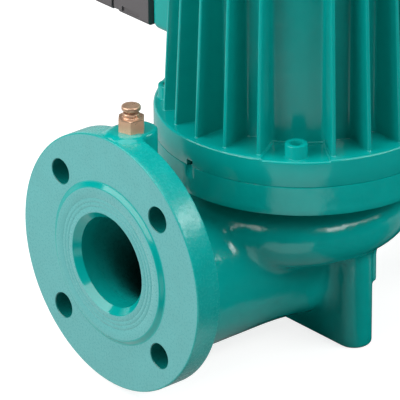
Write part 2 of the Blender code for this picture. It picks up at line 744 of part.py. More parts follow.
def bolt_holes(name, towards):
    """The bolt holes of a flange."""
    inner = towards * (FLANGE_BACK - CUT_OVER)
    outer = towards * (FLANGE_FACE + CUT_OVER)
    holes = []
    for hole in range(BOLT_HOLE_COUNT):
        angle = math.radians((hole + 0.5) * 360 / BOLT_HOLE_COUNT)
        y = BOLT_CIRCLE_RADIUS * math.cos(angle)
        z = PIPE_HEIGHT + BOLT_CIRCLE_RADIUS * math.sin(angle)
        holes.append(rod(f"{name}_hole_{hole}", (inner, y, z), (outer, y, z), BOLT_HOLE_RADIUS))
    return joined(name, holes)


def stadium(half_length, half_width, arc_points=6):
    """An outline along Y with round ends."""
    end = half_length - half_width
    arc = np.linspace(0.0, math.pi, arc_points + 1)
    upper = [(half_width * math.cos(a), end + half_width * math.sin(a)) for a in arc]
    lower = [(-half_width * math.cos(a), -end - half_width * math.sin(a)) for a in arc]
    return upper + lower


def make_casing():
    """The cast casing: flanges, dipping suction passage, volute, discharge neck, ring and foot."""
    casing = turned("volute_casing", [
        (0.0, CASING_TOP), (RING_RADIUS - RING_CHAMFER / 2, CASING_TOP),
        (RING_RADIUS, CASING_TOP - RING_CHAMFER / 2), (RING_RADIUS, CASING_RING_BOTTOM + RING_CHAMFER),
        (RING_RADIUS - RING_CHAMFER, CASING_RING_BOTTOM), (DRUM_RADIUS, CASING_RING_BOTTOM),
        (DRUM_RADIUS, FRONT_SHROUD_BOTTOM), (DRUM_FOOT_RADIUS + WATER_WALL, DRUM_BOTTOM + WATER_WALL),
        (DRUM_FOOT_RADIUS, DRUM_BOTTOM), (0.0, DRUM_BOTTOM),
    ], LARGE_STEPS, solid=True)
    elbow = elbow_rings(SUCTION_WALL)
    elbow.append(elbow[-1] + np.array((0.0, 0.0, WEAR_RING_LEDGE)))
    web = plate(
        "foot_web", stadium(FOOT_HALF_LENGTH, FOOT_HALF_THICKNESS), 0.0, PIPE_HEIGHT - BORE_RADIUS / 2,
    )
    foot_edge = web.modifiers.new("Edges", "BEVEL")
    foot_edge.width = FOOT_EDGE
    foot_edge.segments = 1
    foot_edge.limit_method = "ANGLE"
    foot_edge.angle_limit = math.radians(60)
    pad_side = FOOT_HALF_LENGTH - FOOT_HALF_THICKNESS / 2
    pad_top = PIPE_HEIGHT - BORE_RADIUS / 2
    pad = block(
        "foot_pad", (0.0, -pad_side, pad_top - FOOT_PAD_HEIGHT),
        (FOOT_HALF_THICKNESS + FOOT_PAD_PROUD, FOOT_PAD_WIDTH - pad_side, pad_top - CUT_OVER),
        FOOT_PAD_PROUD / 2, 1,
    )
    middle = (BOSS_FRONT + BOSS_BACK) / 2
    boss = plate(
        "vent_boss", stadium((BOSS_BACK - BOSS_FRONT) / 2, BOSS_HALF_WIDTH), PIPE_HEIGHT, BOSS_TOP,
        Matrix.Translation((middle, 0.0, 0.0)) @ Matrix.Rotation(math.pi / 2, 4, "Z"),
    )
    neck_end = [(FLANGE_BACK + FLANGE_THICKNESS / 2, BORE_RADIUS)]
    add(
        casing, loft("volute_wall", volute_rings(WATER_WALL, neck_end)),
        loft("suction_wall", suction_body_rings()), loft("elbow_wall", elbow), web, pad, boss,
        flange("suction_flange", -1), flange("discharge_flange", 1),
    )
    waterway = suction_rings() + elbow_rings(0.0)
    waterway.append(oval((0.0, 0.0, WEAR_SEAT_BOTTOM + RUNNING_GAP), (0.0, 1.0, 0.0), (1.0, 0.0, 0.0),
                         EYE_RADIUS, EYE_RADIUS))
    chamber = turned("impeller_chamber", [
        (0.0, CASING_TOP + CUT_OVER), (COVER_RADIUS, CASING_TOP + CUT_OVER), (COVER_RADIUS, COVER_LEDGE),
        (COVER_SPIGOT_RADIUS, COVER_LEDGE), (COVER_SPIGOT_RADIUS, COVER_BOTTOM),
        (CHAMBER_RADIUS, COVER_BOTTOM),
        (CHAMBER_RADIUS, FRONT_SHROUD_BOTTOM - IMPELLER_SIDE_ROOM), (WEAR_SEAT_RADIUS, WEAR_SEAT_TOP),
        (WEAR_SEAT_RADIUS, WEAR_SEAT_BOTTOM), (0.0, WEAR_SEAT_BOTTOM),
    ], LARGE_STEPS, solid=True)
    screw_holes = []
    thread_bottom = SCREW_SEAT - MOTOR_FLANGE_HEIGHT - CASING_SCREW_THREAD_LENGTH
    for angle in SCREW_ANGLES:
        low = polar(CASING_SCREW_CIRCLE, angle, thread_bottom)
        high = polar(CASING_SCREW_CIRCLE, angle, CASING_TOP + CUT_OVER)
        screw_holes.append(rod(f"casing_thread_{angle}", low, high, CASING_SCREW_RADIUS + SEAT_GAP))
    grooves = []
    for angle in SCREW_ANGLES:
        seat = RING_RADIUS + LEAK_GROOVE_RADIUS / 3
        low = polar(seat, angle - FIRST_SCREW_ANGLE, CASING_TOP - LEAK_GROOVE_LENGTH)
        high = polar(seat, angle - FIRST_SCREW_ANGLE, CASING_TOP + CUT_OVER)
        grooves.append(rod(f"leak_groove_{angle}", low, high, LEAK_GROOVE_RADIUS))
    stem_bottom = VENT_BASE - VENT_STEM_LENGTH - SEAT_GAP
    vent_holes = (
        rod("vent_thread", (VENT_X, 0.0, stem_bottom), (VENT_X, 0.0, BOSS_TOP + CUT_OVER),
            VENT_STEM_RADIUS + SEAT_GAP),
        rod("vent_way", (VENT_X, 0.0, PIPE_HEIGHT), (VENT_X, 0.0, stem_bottom + CUT_OVER),
            VENT_HOLE_RADIUS * 2),
    )
    cut(
        casing, loft("suction_waterway", waterway), chamber,
        loft("volute_waterway", volute_rings(0.0, MOUTH)),
        bolt_holes("suction_bolt_holes", -1), bolt_holes("discharge_bolt_holes", 1),
        joined("casing_threads", screw_holes), joined("leak_grooves", grooves), *vent_holes,
    )
    dress(casing, PAINT)


def make_wear_ring():
    """The replaceable ring that the impeller's neck runs in."""
    wear = ring("wear_ring", WEAR_RING_INNER_RADIUS, WEAR_RING_OUTER_RADIUS,
                WEAR_SEAT_BOTTOM + SEAT_GAP, WEAR_SEAT_TOP, LARGE_STEPS)
    dress(wear, BRONZE)


def vane_outline(first_angle):
    """One backward-curved vane in plan, as a band about a spiral."""
    share = np.linspace(0.0, 1.0, VANE_POINTS)
    radius = VANE_INNER_RADIUS + (IMPELLER_RADIUS - SEAT_GAP - VANE_INNER_RADIUS) * share
    angle = np.radians(first_angle + VANE_SWEEP * share)
    line = np.stack([radius * np.cos(angle), radius * np.sin(angle)], axis=1)
    along = np.gradient(line, axis=0)
    along /= np.linalg.norm(along, axis=1)[:, None]
    side = np.stack([-along[:, 1], along[:, 0]], axis=1) * VANE_THICKNESS / 2
    return [tuple(point) for point in np.concatenate([line + side, (line - side)[::-1]])]


def make_impeller():
    """A closed impeller: back shroud with hub, curved vanes and a front shroud with its neck."""
    bore = IMPELLER_SEAT_RADIUS + SEAT_GAP
    impeller = turned("impeller", [
        (HUB_RADIUS, HUB_TOP), (HUB_RADIUS, BACK_SHROUD_TOP), (IMPELLER_RADIUS, BACK_SHROUD_TOP),
        (IMPELLER_RADIUS, BACK_SHROUD_BOTTOM), (HUB_RADIUS + SHROUD_THICKNESS, BACK_SHROUD_BOTTOM),
        (HUB_RADIUS, HUB_BOTTOM), (bore, HUB_BOTTOM), (bore, HUB_TOP),
    ], IMPELLER_STEPS)
    lining = EYE_NECK_RADIUS - FRONT_SHROUD_THICKNESS
    front = turned("front_shroud", [
        (IMPELLER_RADIUS, FRONT_SHROUD_TOP), (IMPELLER_RADIUS, FRONT_SHROUD_BOTTOM),
        (EYE_NECK_RADIUS, EYE_NECK_TOP), (EYE_NECK_RADIUS, EYE_NECK_BOTTOM), (lining, EYE_NECK_BOTTOM),
        (lining, EYE_NECK_TOP + FRONT_SHROUD_THICKNESS),
    ], IMPELLER_STEPS)
    low = EYE_NECK_TOP - FRONT_SHROUD_THICKNESS
    high = BACK_SHROUD_TOP - SHROUD_THICKNESS / 2
    vanes = joined("vanes", [
        plate(f"vane_{turn}", vane_outline(turn * 360 / VANE_COUNT), low, high)
        for turn in range(VANE_COUNT)
    ])
    vane_room = turned("vane_room", [
        (0.0, high - SEAT_GAP), (IMPELLER_RADIUS - RUNNING_GAP, high - SEAT_GAP),
        (IMPELLER_RADIUS - RUNNING_GAP, FRONT_SHROUD_TOP - FRONT_SHROUD_THICKNESS / 2),
        (lining + FRONT_SHROUD_THICKNESS / 2, EYE_NECK_TOP + FRONT_SHROUD_THICKNESS / 3),
        (0.0, EYE_NECK_TOP + FRONT_SHROUD_THICKNESS / 3),
    ], IMPELLER_STEPS, solid=True)
    combine(vanes, "INTERSECT", [vane_room])
    add(impeller, vanes, front)
    cut(impeller, key_block("hub_keyway", SEAT_GAP, HUB_TOP - HUB_BOTTOM))
    dress(impeller, BRONZE)


def key_block(name, room, extra_length=0.0):
    """The impeller key, or the slot for it with room all round."""
    middle = (HUB_BOTTOM + HUB_TOP) / 2
    half_length = KEY_LENGTH / 2 + room + extra_length
    half_width = KEY_SIZE / 2 + room
    return block(
        name, (-half_width, IMPELLER_SEAT_RADIUS - KEY_SIZE / 2 - room, middle - half_length),
        (half_width, IMPELLER_SEAT_RADIUS + KEY_SIZE / 2 + room, middle + half_length),
    )


def make_impeller_fastening():
    """Key, washer and nut at the lower end of the shaft."""
    dress(key_block("impeller_key", 0.0), BRIGHT_STEEL)
    hole = THREAD_RADIUS + SEAT_GAP
    washer = ring("impeller_washer", hole, WASHER_RADIUS, WASHER_BOTTOM, WASHER_BOTTOM + WASHER_THICKNESS)
    dress(washer, BRIGHT_STEEL)
    nut = rod("impeller_nut", (0.0, 0.0, NUT_BOTTOM), (0.0, 0.0, NUT_TOP), NUT_CORNER_RADIUS, 6)
    cut(nut, rod("nut_thread", (0.0, 0.0, NUT_BOTTOM - CUT_OVER), (0.0, 0.0, NUT_TOP + CUT_OVER), hole,
                 MEDIUM_STEPS))
    dress(nut, BRIGHT_STEEL)


def make_shaft():
    """The one shaft of motor and pump, stepped for each piece that it carries."""
    seal_bottom = HUB_TOP + SEAT_GAP
    lower_shoulder = LOWER_BEARING_TOP + SEAT_GAP
    upper_shoulder = UPPER_BEARING_BOTTOM - SEAT_GAP
    shaft = turned("motor_shaft", [
        (0.0, SHAFT_TOP), (FAN_SEAT_RADIUS, SHAFT_TOP), (FAN_SEAT_RADIUS, SHIELD_HUB_CEILING),
        (UPPER_BEARING_BORE_RADIUS, SHIELD_HUB_CEILING), (UPPER_BEARING_BORE_RADIUS, upper_shoulder),
        (ROTOR_SEAT_RADIUS, upper_shoulder), (ROTOR_SEAT_RADIUS, lower_shoulder),
        (LOWER_BEARING_BORE_RADIUS, lower_shoulder), (LOWER_BEARING_BORE_RADIUS, BEARING_WALL_BOTTOM),
        (SEAL_SEAT_RADIUS, BEARING_WALL_BOTTOM), (SEAL_SEAT_RADIUS, seal_bottom),
        (IMPELLER_SEAT_RADIUS, seal_bottom), (IMPELLER_SEAT_RADIUS, HUB_BOTTOM),
        (THREAD_RADIUS, HUB_BOTTOM),
        (THREAD_RADIUS, SHAFT_BOTTOM), (0.0, SHAFT_BOTTOM),
    ], solid=True)
    cut(shaft, key_block("shaft_keyway", SEAT_GAP))
    dress(shaft, BRIGHT_STEEL)


SEAT_CUP_TOP = CASING_TOP - COVER_WALL
SEAT_TOP = SEAT_CUP_TOP - SEAT_CUP_WALL - SEAT_GAP
SEAT_BOTTOM = SEAT_TOP - SEAT_HEIGHT
FACE_TOP = SEAT_BOTTOM - SEAT_GAP
FACE_BOTTOM = FACE_TOP - SEAL_FACE_HEIGHT
SEAL_BOTTOM = HUB_TOP + 2 * SEAT_GAP
COVER_HOLE_RADIUS = SEAL_SEAT_RADIUS + SHAFT_HOLE_ROOM


def make_cover():
    """The dished cover that closes the casing and holds the seal's seat, with its gasket."""
    pocket = SEAT_CUP_RADIUS + SEAT_GAP
    spigot = COVER_SPIGOT_RADIUS - SEAT_GAP
    floor = COVER_BOTTOM + COVER_WALL
    pocket_ceiling = SEAT_CUP_TOP + SEAT_GAP
    cover = turned("casing_cover", [
        (COVER_RADIUS - SEAT_GAP, CASING_TOP), (COVER_RADIUS - SEAT_GAP, COVER_RIM_BOTTOM),
        (spigot, COVER_RIM_BOTTOM), (spigot, COVER_BOTTOM), (SEAL_CHAMBER_RADIUS, COVER_BOTTOM),
        (SEAL_CHAMBER_RADIUS, SEAT_BOTTOM), (pocket, SEAT_BOTTOM), (pocket, pocket_ceiling),
        (COVER_HOLE_RADIUS, pocket_ceiling), (COVER_HOLE_RADIUS, CASING_TOP),
        (pocket + COVER_WALL, CASING_TOP), (SEAL_CHAMBER_RADIUS + COVER_WALL, floor + COVER_WALL),
        (SEAL_CHAMBER_RADIUS + 2 * COVER_WALL, floor), (spigot - COVER_WALL, floor),
        (spigot - COVER_WALL, CASING_TOP),
    ])
    dress(cover, CAST_STEEL)
    gasket = ring("casing_gasket", COVER_SPIGOT_RADIUS + SEAT_GAP, COVER_RADIUS - SEAT_GAP,
                  GASKET_BOTTOM, GASKET_TOP)
    dress(gasket, GASKET_PAPER)


def make_seal():
    """The mechanical shaft seal: fixed seat in its cup, and the spring-loaded face that turns on it."""
    bore = SEAL_SEAT_RADIUS + SEAT_GAP
    seat_radius = SEAT_CUP_RADIUS - SEAT_CUP_WALL
    cup = turned("seal_seat_cup", [
        (SEAT_CUP_RADIUS, SEAT_CUP_TOP), (SEAT_CUP_RADIUS, SEAT_BOTTOM + SEAT_GAP),
        (seat_radius, SEAT_BOTTOM + SEAT_GAP), (seat_radius, SEAT_CUP_TOP - SEAT_CUP_WALL),
        (COVER_HOLE_RADIUS, SEAT_CUP_TOP - SEAT_CUP_WALL), (COVER_HOLE_RADIUS, SEAT_CUP_TOP),
    ])
    dress(cup, RUBBER)
    seat = ring("seal_seat", COVER_HOLE_RADIUS, seat_radius - SEAT_GAP, SEAT_BOTTOM, SEAT_TOP)
    dress(seat, CERAMIC)
    dress(ring("seal_face", bore, SEAL_FACE_RADIUS, FACE_BOTTOM, FACE_TOP), CARBON)
    bellows = ring("seal_bellows", bore, bore + BELLOWS_WALL, SEAL_BOTTOM, FACE_BOTTOM - SEAT_GAP)
    dress(bellows, RUBBER)
    dress(make_spring(bore + BELLOWS_WALL + SEAT_GAP + 2 * SPRING_WIRE_RADIUS), BRIGHT_STEEL)


def make_spring(coil_radius):
    """The seal's spring, one wire wound up a helix between the hub and the face."""
    low = SEAL_BOTTOM + SPRING_WIRE_RADIUS
    rise = FACE_BOTTOM - SEAT_GAP - SPRING_WIRE_RADIUS - low
    curve = bpy.data.curves.new("seal_spring", "CURVE")
    curve.dimensions = "3D"
    curve.bevel_depth = SPRING_WIRE_RADIUS
    curve.bevel_resolution = 1
    curve.use_fill_caps = True
    spline = curve.splines.new("POLY")
    steps = SPRING_TURNS * SPRING_POINTS_PER_TURN
    spline.points.add(steps)
    for step, point in enumerate(spline.points):
        angle = step * 360 / SPRING_POINTS_PER_TURN
        point.co = (*polar(coil_radius, angle, low + rise * step / steps), 1.0)
    drawn = place("seal_spring_line", curve)
    bpy.context.view_layer.update()
    mesh = bpy.data.meshes.new_from_object(drawn.evaluated_get(bpy.context.evaluated_depsgraph_get()))
    bpy.data.objects.remove(drawn, do_unlink=True)
    return place("seal_spring", mesh)


def make_slinger():
    """The rubber ring that throws leaked water off the shaft below the bearing."""
    bore = SEAL_SEAT_RADIUS + SEAT_GAP
    low = MOTOR_FLANGE_BOTTOM + SEAT_GAP
    slinger = turned("slinger_ring", [
        (bore + BELLOWS_WALL, low + SLINGER_HEIGHT), (SLINGER_RADIUS, low + SLINGER_HEIGHT / 3),
        (SLINGER_RADIUS, low), (bore, low), (bore, low + SLINGER_HEIGHT),
    ])
    dress(slinger, RUBBER)


def fin(angle):
    """One cooling fin, a tapered plate standing radially on the motor body."""
    root = BODY_BORE_RADIUS + (BODY_OUTER_RADIUS - BODY_BORE_RADIUS) / 2
    low = MOTOR_FLANGE_TOP - POCKET_DEPTH * 2
    tip = FIN_TIP_RADIUS - HOUSING_HEIGHT * FIN_SLOPE
    outline = [(root, low), (FIN_TIP_RADIUS, low), (tip, HOUSING_TOP), (root, HOUSING_TOP)]
    out = polar(1.0, angle)
    up = Vector((0.0, 0.0, 1.0))
    turn = Matrix((out, up, out.cross(up))).transposed().to_4x4()
    return plate(f"fin_{angle}", outline, -FIN_THICKNESS / 2, FIN_THICKNESS / 2, turn)


def pocket(angle):
    """The shallow sector that is faced off round a casing screw."""
    inner = BODY_OUTER_RADIUS + POCKET_DEPTH
    corners = [
        polar(radius, angle + side * POCKET_HALF_ANGLE)
        for radius, side in ((inner, -1), (RING_RADIUS * 1.1, -1), (RING_RADIUS * 1.1, 1), (inner, 1))
    ]
    return plate(
        f"screw_pocket_{angle}", [(corner.x, corner.y) for corner in corners], SCREW_SEAT,
        MOTOR_FLANGE_TOP + CUT_OVER,
    )


def make_housing():
    """The motor's finned housing with its flange, lower bearing seat and the pad for the terminal box."""
    housing = turned("motor_housing", [
        (0.0, HOUSING_TOP), (BODY_OUTER_RADIUS, HOUSING_TOP), (BODY_OUTER_RADIUS, MOTOR_FLANGE_TOP),
        (RING_RADIUS - RING_CHAMFER, MOTOR_FLANGE_TOP), (RING_RADIUS, MOTOR_FLANGE_TOP - RING_CHAMFER),
        (RING_RADIUS, MOTOR_FLANGE_BOTTOM), (LANTERN_RADIUS, MOTOR_FLANGE_BOTTOM),
        (LANTERN_RADIUS, BEARING_WALL_BOTTOM), (0.0, BEARING_WALL_BOTTOM),
    ], LARGE_STEPS, solid=True)
    angles = [angle for angle in range(0, 360, FIN_PITCH) if angle not in SCREW_ANGLES]
    fins = joined("fins", [fin(angle) for angle in angles])
    pad = block(
        "box_pad", (-PAD_HALF_WIDTH, BODY_BORE_RADIUS / 2, PAD_BOTTOM),
        (PAD_HALF_WIDTH, PAD_FACE, PAD_BOTTOM + PAD_HEIGHT), PAD_ROUNDING,
    )
    bosses = joined("shield_bosses", [
        rod(f"shield_boss_{angle}", polar(SHIELD_SCREW_CIRCLE, angle, HOUSING_TOP - BOSS_HEIGHT),
            polar(SHIELD_SCREW_CIRCLE, angle, HOUSING_TOP), BOSS_RADIUS)
        for angle in SCREW_ANGLES
    ])
    add(housing, fins, pad, bosses)
    hub = LOWER_BEARING_RADIUS + SEAT_GAP + BEARING_HUB_WALL
    bearing_seat = LOWER_BEARING_RADIUS + SEAT_GAP
    shaft_hole = LOWER_BEARING_BORE_RADIUS + RACE_SHOULDER
    hollow = turned("stator_room", [
        (0.0, HOUSING_TOP + CUT_OVER), (BODY_BORE_RADIUS, HOUSING_TOP + CUT_OVER),
        (BODY_BORE_RADIUS, BEARING_WALL_TOP), (hub, BEARING_WALL_TOP), (hub, LOWER_BEARING_TOP),
        (bearing_seat, LOWER_BEARING_TOP), (bearing_seat, LOWER_BEARING_BOTTOM - SEAT_GAP),
        (shaft_hole, LOWER_BEARING_BOTTOM - SEAT_GAP), (shaft_hole, BEARING_WALL_BOTTOM - CUT_OVER),
        (0.0, BEARING_WALL_BOTTOM - CUT_OVER),
    ], LARGE_STEPS, solid=True)
    screw_holes = []
    for angle in SCREW_ANGLES:
        low = polar(CASING_SCREW_CIRCLE, angle, MOTOR_FLANGE_BOTTOM - CUT_OVER)
        high = polar(CASING_SCREW_CIRCLE, angle, MOTOR_FLANGE_TOP + CUT_OVER)
        hole = CASING_SCREW_RADIUS + CASING_SCREW_HOLE_ROOM
        screw_holes.append(rod(f"flange_hole_{angle}", low, high, hole))
        low = polar(SHIELD_SCREW_CIRCLE, angle, SHIELD_TOP - SHIELD_SCREW_LENGTH - SEAT_GAP)
        high = polar(SHIELD_SCREW_CIRCLE, angle, HOUSING_TOP + CUT_OVER)
        screw_holes.append(rod(f"shield_thread_{angle}", low, high, SHIELD_SCREW_RADIUS + SEAT_GAP))
    slots = []
    for angle in SCREW_ANGLES:
        turn = Matrix.Rotation(math.radians(angle - FIRST_SCREW_ANGLE), 4, "Z")
        half = LEAK_SLOT_WIDTH / 2
        inner = LANTERN_RADIUS - CUT_OVER
        outer = RING_RADIUS + CUT_OVER
        slots.append(plate(
            f"leak_slot_{angle}", [(inner, -half), (outer, -half), (outer, half), (inner, half)],
            MOTOR_FLANGE_BOTTOM - CUT_OVER, MOTOR_FLANGE_BOTTOM + LEAK_SLOT_HEIGHT, turn,
        ))
    facing = block("pad_facing", (-BOX_HALF_WIDTH, PAD_FACE, PAD_BOTTOM - FIN_THICKNESS),
                   (BOX_HALF_WIDTH, RING_RADIUS, HOUSING_TOP - CUT_OVER))
    lead_hole = rod("lead_hole", (0.0, BODY_BORE_RADIUS - 2 * CUT_OVER, LEAD_HOLE_HEIGHT),
                    (0.0, PAD_FACE + CUT_OVER, LEAD_HOLE_HEIGHT), LEAD_HOLE_RADIUS)
    box_threads = []
    for side in (-1, 1):
        x = side * BOX_SCREW_SPREAD
        bottom = BOX_BACK + BOX_WALL - BOX_SCREW_LENGTH - SEAT_GAP
        box_threads.append(rod(f"box_thread_{side}", (x, bottom, LEAD_HOLE_HEIGHT),
                               (x, PAD_FACE + CUT_OVER, LEAD_HOLE_HEIGHT), BOX_SCREW_RADIUS + SEAT_GAP))
    cut(
        housing, hollow, joined("screw_pockets", [pocket(angle) for angle in SCREW_ANGLES]),
        joined("housing_holes", screw_holes), joined("leak_slots", slots), facing, lead_hole,
        joined("box_threads", box_threads),
    )
    dress(housing, PAINT)


def make_casing_screws():
    """Socket-head screws that hold the motor on the casing."""
    for number, angle in enumerate(SCREW_ANGLES, 1):
        seat = SCREW_SEAT + SEAT_GAP
        top = seat + CASING_SCREW_HEAD_HEIGHT
        bottom = SCREW_SEAT - MOTOR_FLANGE_HEIGHT - CASING_SCREW_THREAD_LENGTH + SEAT_GAP
        screw = turned(f"casing_screw_{number}", [
            (0.0, top), (CASING_SCREW_HEAD_RADIUS, top), (CASING_SCREW_HEAD_RADIUS, seat),
            (CASING_SCREW_RADIUS, seat), (CASING_SCREW_RADIUS, bottom), (0.0, bottom),
        ], SMALL_STEPS, solid=True)
        socket = rod(f"casing_socket_{number}", (0.0, 0.0, top - CASING_SCREW_SOCKET_DEPTH),
                     (0.0, 0.0, top + CUT_OVER), CASING_SCREW_SOCKET_RADIUS, 6)
        screw.location = polar(CASING_SCREW_CIRCLE, angle)
        socket.location = screw.location
        dress(cut(screw, socket), PAINT)


def make_bearing(name, bore, radius, low, width, balls):
    """A deep-groove ball bearing: two grooved rings and the balls in their cage."""
    high = low + width
    middle = (low + high) / 2
    inner_bore = bore + SEAT_GAP
    pitch = (inner_bore + radius) / 2
    groove = BALL_RADIUS + RUNNING_GAP
    # The outer ring's flats, not its corners, keep the running gap all the way round.
    flats = math.cos(math.pi / MEDIUM_STEPS)
    outer_shoulder = (pitch + RACE_SHOULDER) / flats
    outer_groove = (pitch + groove) / flats
    half = math.sqrt(groove**2 - RACE_SHOULDER**2)
    inner_shoulder = pitch - RACE_SHOULDER
    inner = turned(name + "_inner_ring", [
        (inner_shoulder, high), (inner_shoulder, middle + half), (pitch - groove, middle),
        (inner_shoulder, middle - half), (inner_shoulder, low), (inner_bore, low), (inner_bore, high),
    ])
    outer = turned(name + "_outer_ring", [
        (radius, high), (radius, low), (outer_shoulder, low), (outer_shoulder, middle - half),
        (outer_groove, middle), (outer_shoulder, middle + half), (outer_shoulder, high),
    ])
    cage = ring(name + "_balls", pitch - CAGE_WALL, pitch + CAGE_WALL, middle - CAGE_HEIGHT / 2,
                middle + CAGE_HEIGHT / 2)
    beads = []
    for ball in range(balls):
        shape = bmesh.new()
        bmesh.ops.create_uvsphere(shape, u_segments=6, v_segments=4, radius=BALL_RADIUS)
        shape.transform(Matrix.Translation(polar(pitch, ball * 360 / balls, middle)))
        mesh = bpy.data.meshes.new(f"{name}_ball_{ball}")
        shape.to_mesh(mesh)
        shape.free()
        beads.append(place(mesh.name, mesh))
    add(cage, joined(name + "_ball_set", beads))
    for part in (inner, outer, cage):
        dress(part, BRIGHT_STEEL)


def make_bearings():
    """The two bearings of the shaft and the washer that loads the upper one."""
    make_bearing("lower_bearing", LOWER_BEARING_BORE_RADIUS, LOWER_BEARING_RADIUS, LOWER_BEARING_BOTTOM,
                 LOWER_BEARING_WIDTH, LOWER_BEARING_BALLS)
    make_bearing("upper_bearing", UPPER_BEARING_BORE_RADIUS, UPPER_BEARING_RADIUS, UPPER_BEARING_BOTTOM,
                 UPPER_BEARING_WIDTH, UPPER_BEARING_BALLS)
    washer = ring("preload_washer", UPPER_BEARING_RADIUS - 2 * RACE_SHOULDER, UPPER_BEARING_RADIUS,
                  PRELOAD_BOTTOM, PRELOAD_TOP)
    dress(washer, BRIGHT_STEEL)


def make_stator_and_rotor():
    """Laminated stator with its winding ends, and the squirrel-cage rotor on the shaft."""
    stator = ring("stator_core", ROTOR_RADIUS + AIR_GAP, BODY_BORE_RADIUS - SEAT_GAP, CORE_BOTTOM, CORE_TOP,
                  LARGE_STEPS)
    dress(stator, CAST_STEEL)
    winding_bottom = CORE_BOTTOM - SEAT_GAP - WINDING_HEIGHT
    for name, low in (("lower_winding", winding_bottom), ("upper_winding", CORE_TOP + SEAT_GAP)):
        high = low + WINDING_HEIGHT
        soft = WINDING_ROUNDING
        winding = turned(name, [
            (WINDING_OUTER_RADIUS - soft, high), (WINDING_OUTER_RADIUS, high - soft),
            (WINDING_OUTER_RADIUS, low + soft), (WINDING_OUTER_RADIUS - soft, low),
            (WINDING_INNER_RADIUS + soft, low), (WINDING_INNER_RADIUS, low + soft),
            (WINDING_INNER_RADIUS, high - soft), (WINDING_INNER_RADIUS + soft, high),
        ])
        dress(winding, COPPER)
    bore = ROTOR_SEAT_RADIUS + SEAT_GAP
    rotor = turned("rotor_core", [
        (END_RING_RADIUS, CORE_TOP + END_RING_HEIGHT), (END_RING_RADIUS, CORE_TOP),
        (ROTOR_RADIUS, CORE_TOP),
        (ROTOR_RADIUS, CORE_BOTTOM), (END_RING_RADIUS, CORE_BOTTOM),
        (END_RING_RADIUS, CORE_BOTTOM - END_RING_HEIGHT), (bore, CORE_BOTTOM - END_RING_HEIGHT),
        (bore, CORE_TOP + END_RING_HEIGHT),
    ])
    dress(rotor, CAST_STEEL)


def make_end_shield():
    """The upper end shield, with the upper bearing's seat and lugs for the fan cover."""
    bearing_seat = UPPER_BEARING_RADIUS + SEAT_GAP
    hub = bearing_seat + SHIELD_HUB_WALL
    shaft_hole = UPPER_BEARING_BORE_RADIUS + SHAFT_HOLE_ROOM / 2
    spigot = BODY_BORE_RADIUS - SEAT_GAP
    spigot_bottom = SHIELD_BOTTOM - SHIELD_SPIGOT_DEPTH
    shield = turned("upper_end_shield", [
        (hub, SHIELD_HUB_TOP), (hub, SHIELD_TOP), (SHIELD_RADIUS, SHIELD_TOP),
        (SHIELD_RADIUS, SHIELD_BOTTOM),
        (spigot, SHIELD_BOTTOM), (spigot, spigot_bottom), (spigot - SHIELD_SPIGOT_WALL, spigot_bottom),
        (spigot - SHIELD_SPIGOT_WALL, SHIELD_BOTTOM), (hub, SHIELD_BOTTOM),
        (hub, UPPER_BEARING_BOTTOM), (bearing_seat, UPPER_BEARING_BOTTOM),
        (bearing_seat, SHIELD_HUB_CEILING),
        (shaft_hole, SHIELD_HUB_CEILING), (shaft_hole, SHIELD_HUB_TOP),
    ])
    lugs = []
    holes = []
    half = LUG_WIDTH / 2
    outer = math.sqrt((FAN_COVER_INNER_RADIUS * math.cos(math.pi / LARGE_STEPS) - SEAT_GAP) ** 2 - half**2)
    middle = (SHIELD_BOTTOM + SHIELD_TOP) / 2
    for angle in SCREW_ANGLES:
        turn = Matrix.Rotation(math.radians(angle), 4, "Z")
        lugs.append(plate(
            f"shield_lug_{angle}", [(hub, -half), (outer, -half), (outer, half), (hub, half)],
            SHIELD_BOTTOM + SEAT_GAP, SHIELD_TOP - SEAT_GAP, turn,
        ))
        holes.append(rod(
            f"shield_hole_{angle}", polar(SHIELD_SCREW_CIRCLE, angle, SHIELD_BOTTOM - CUT_OVER),
            polar(SHIELD_SCREW_CIRCLE, angle, SHIELD_TOP + CUT_OVER), SHIELD_SCREW_RADIUS + SEAT_GAP,
        ))
        holes.append(rod(
            f"lug_thread_{angle}", polar(outer - COVER_SCREW_LENGTH - SEAT_GAP, angle, middle),
            polar(outer + CUT_OVER, angle, middle), COVER_SCREW_RADIUS + SEAT_GAP,
        ))
    add(shield, joined("shield_lugs", lugs))
    cut(shield, joined("shield_holes", holes))
    dress(shield, PAINT)
    for number, angle in enumerate(SCREW_ANGLES, 1):
        seat = SHIELD_TOP + SEAT_GAP
        top = seat + SHIELD_SCREW_HEAD_HEIGHT
        screw = turned(f"end_shield_screw_{number}", [
            (0.0, top), (SHIELD_SCREW_HEAD_RADIUS, top), (SHIELD_SCREW_HEAD_RADIUS, seat),
            (SHIELD_SCREW_RADIUS, seat), (SHIELD_SCREW_RADIUS, SHIELD_TOP - SHIELD_SCREW_LENGTH),
            (0.0, SHIELD_TOP - SHIELD_SCREW_LENGTH),
        ], SMALL_STEPS, solid=True)
        socket = rod(f"shield_socket_{number}", (0.0, 0.0, top - SHIELD_SCREW_HEAD_HEIGHT / 2),
                     (0.0, 0.0, top + CUT_OVER), SHIELD_SCREW_HEAD_RADIUS / 2, 6)
        screw.location = polar(SHIELD_SCREW_CIRCLE, angle)
        socket.location = screw.location
        dress(cut(screw, socket), BRIGHT_STEEL)


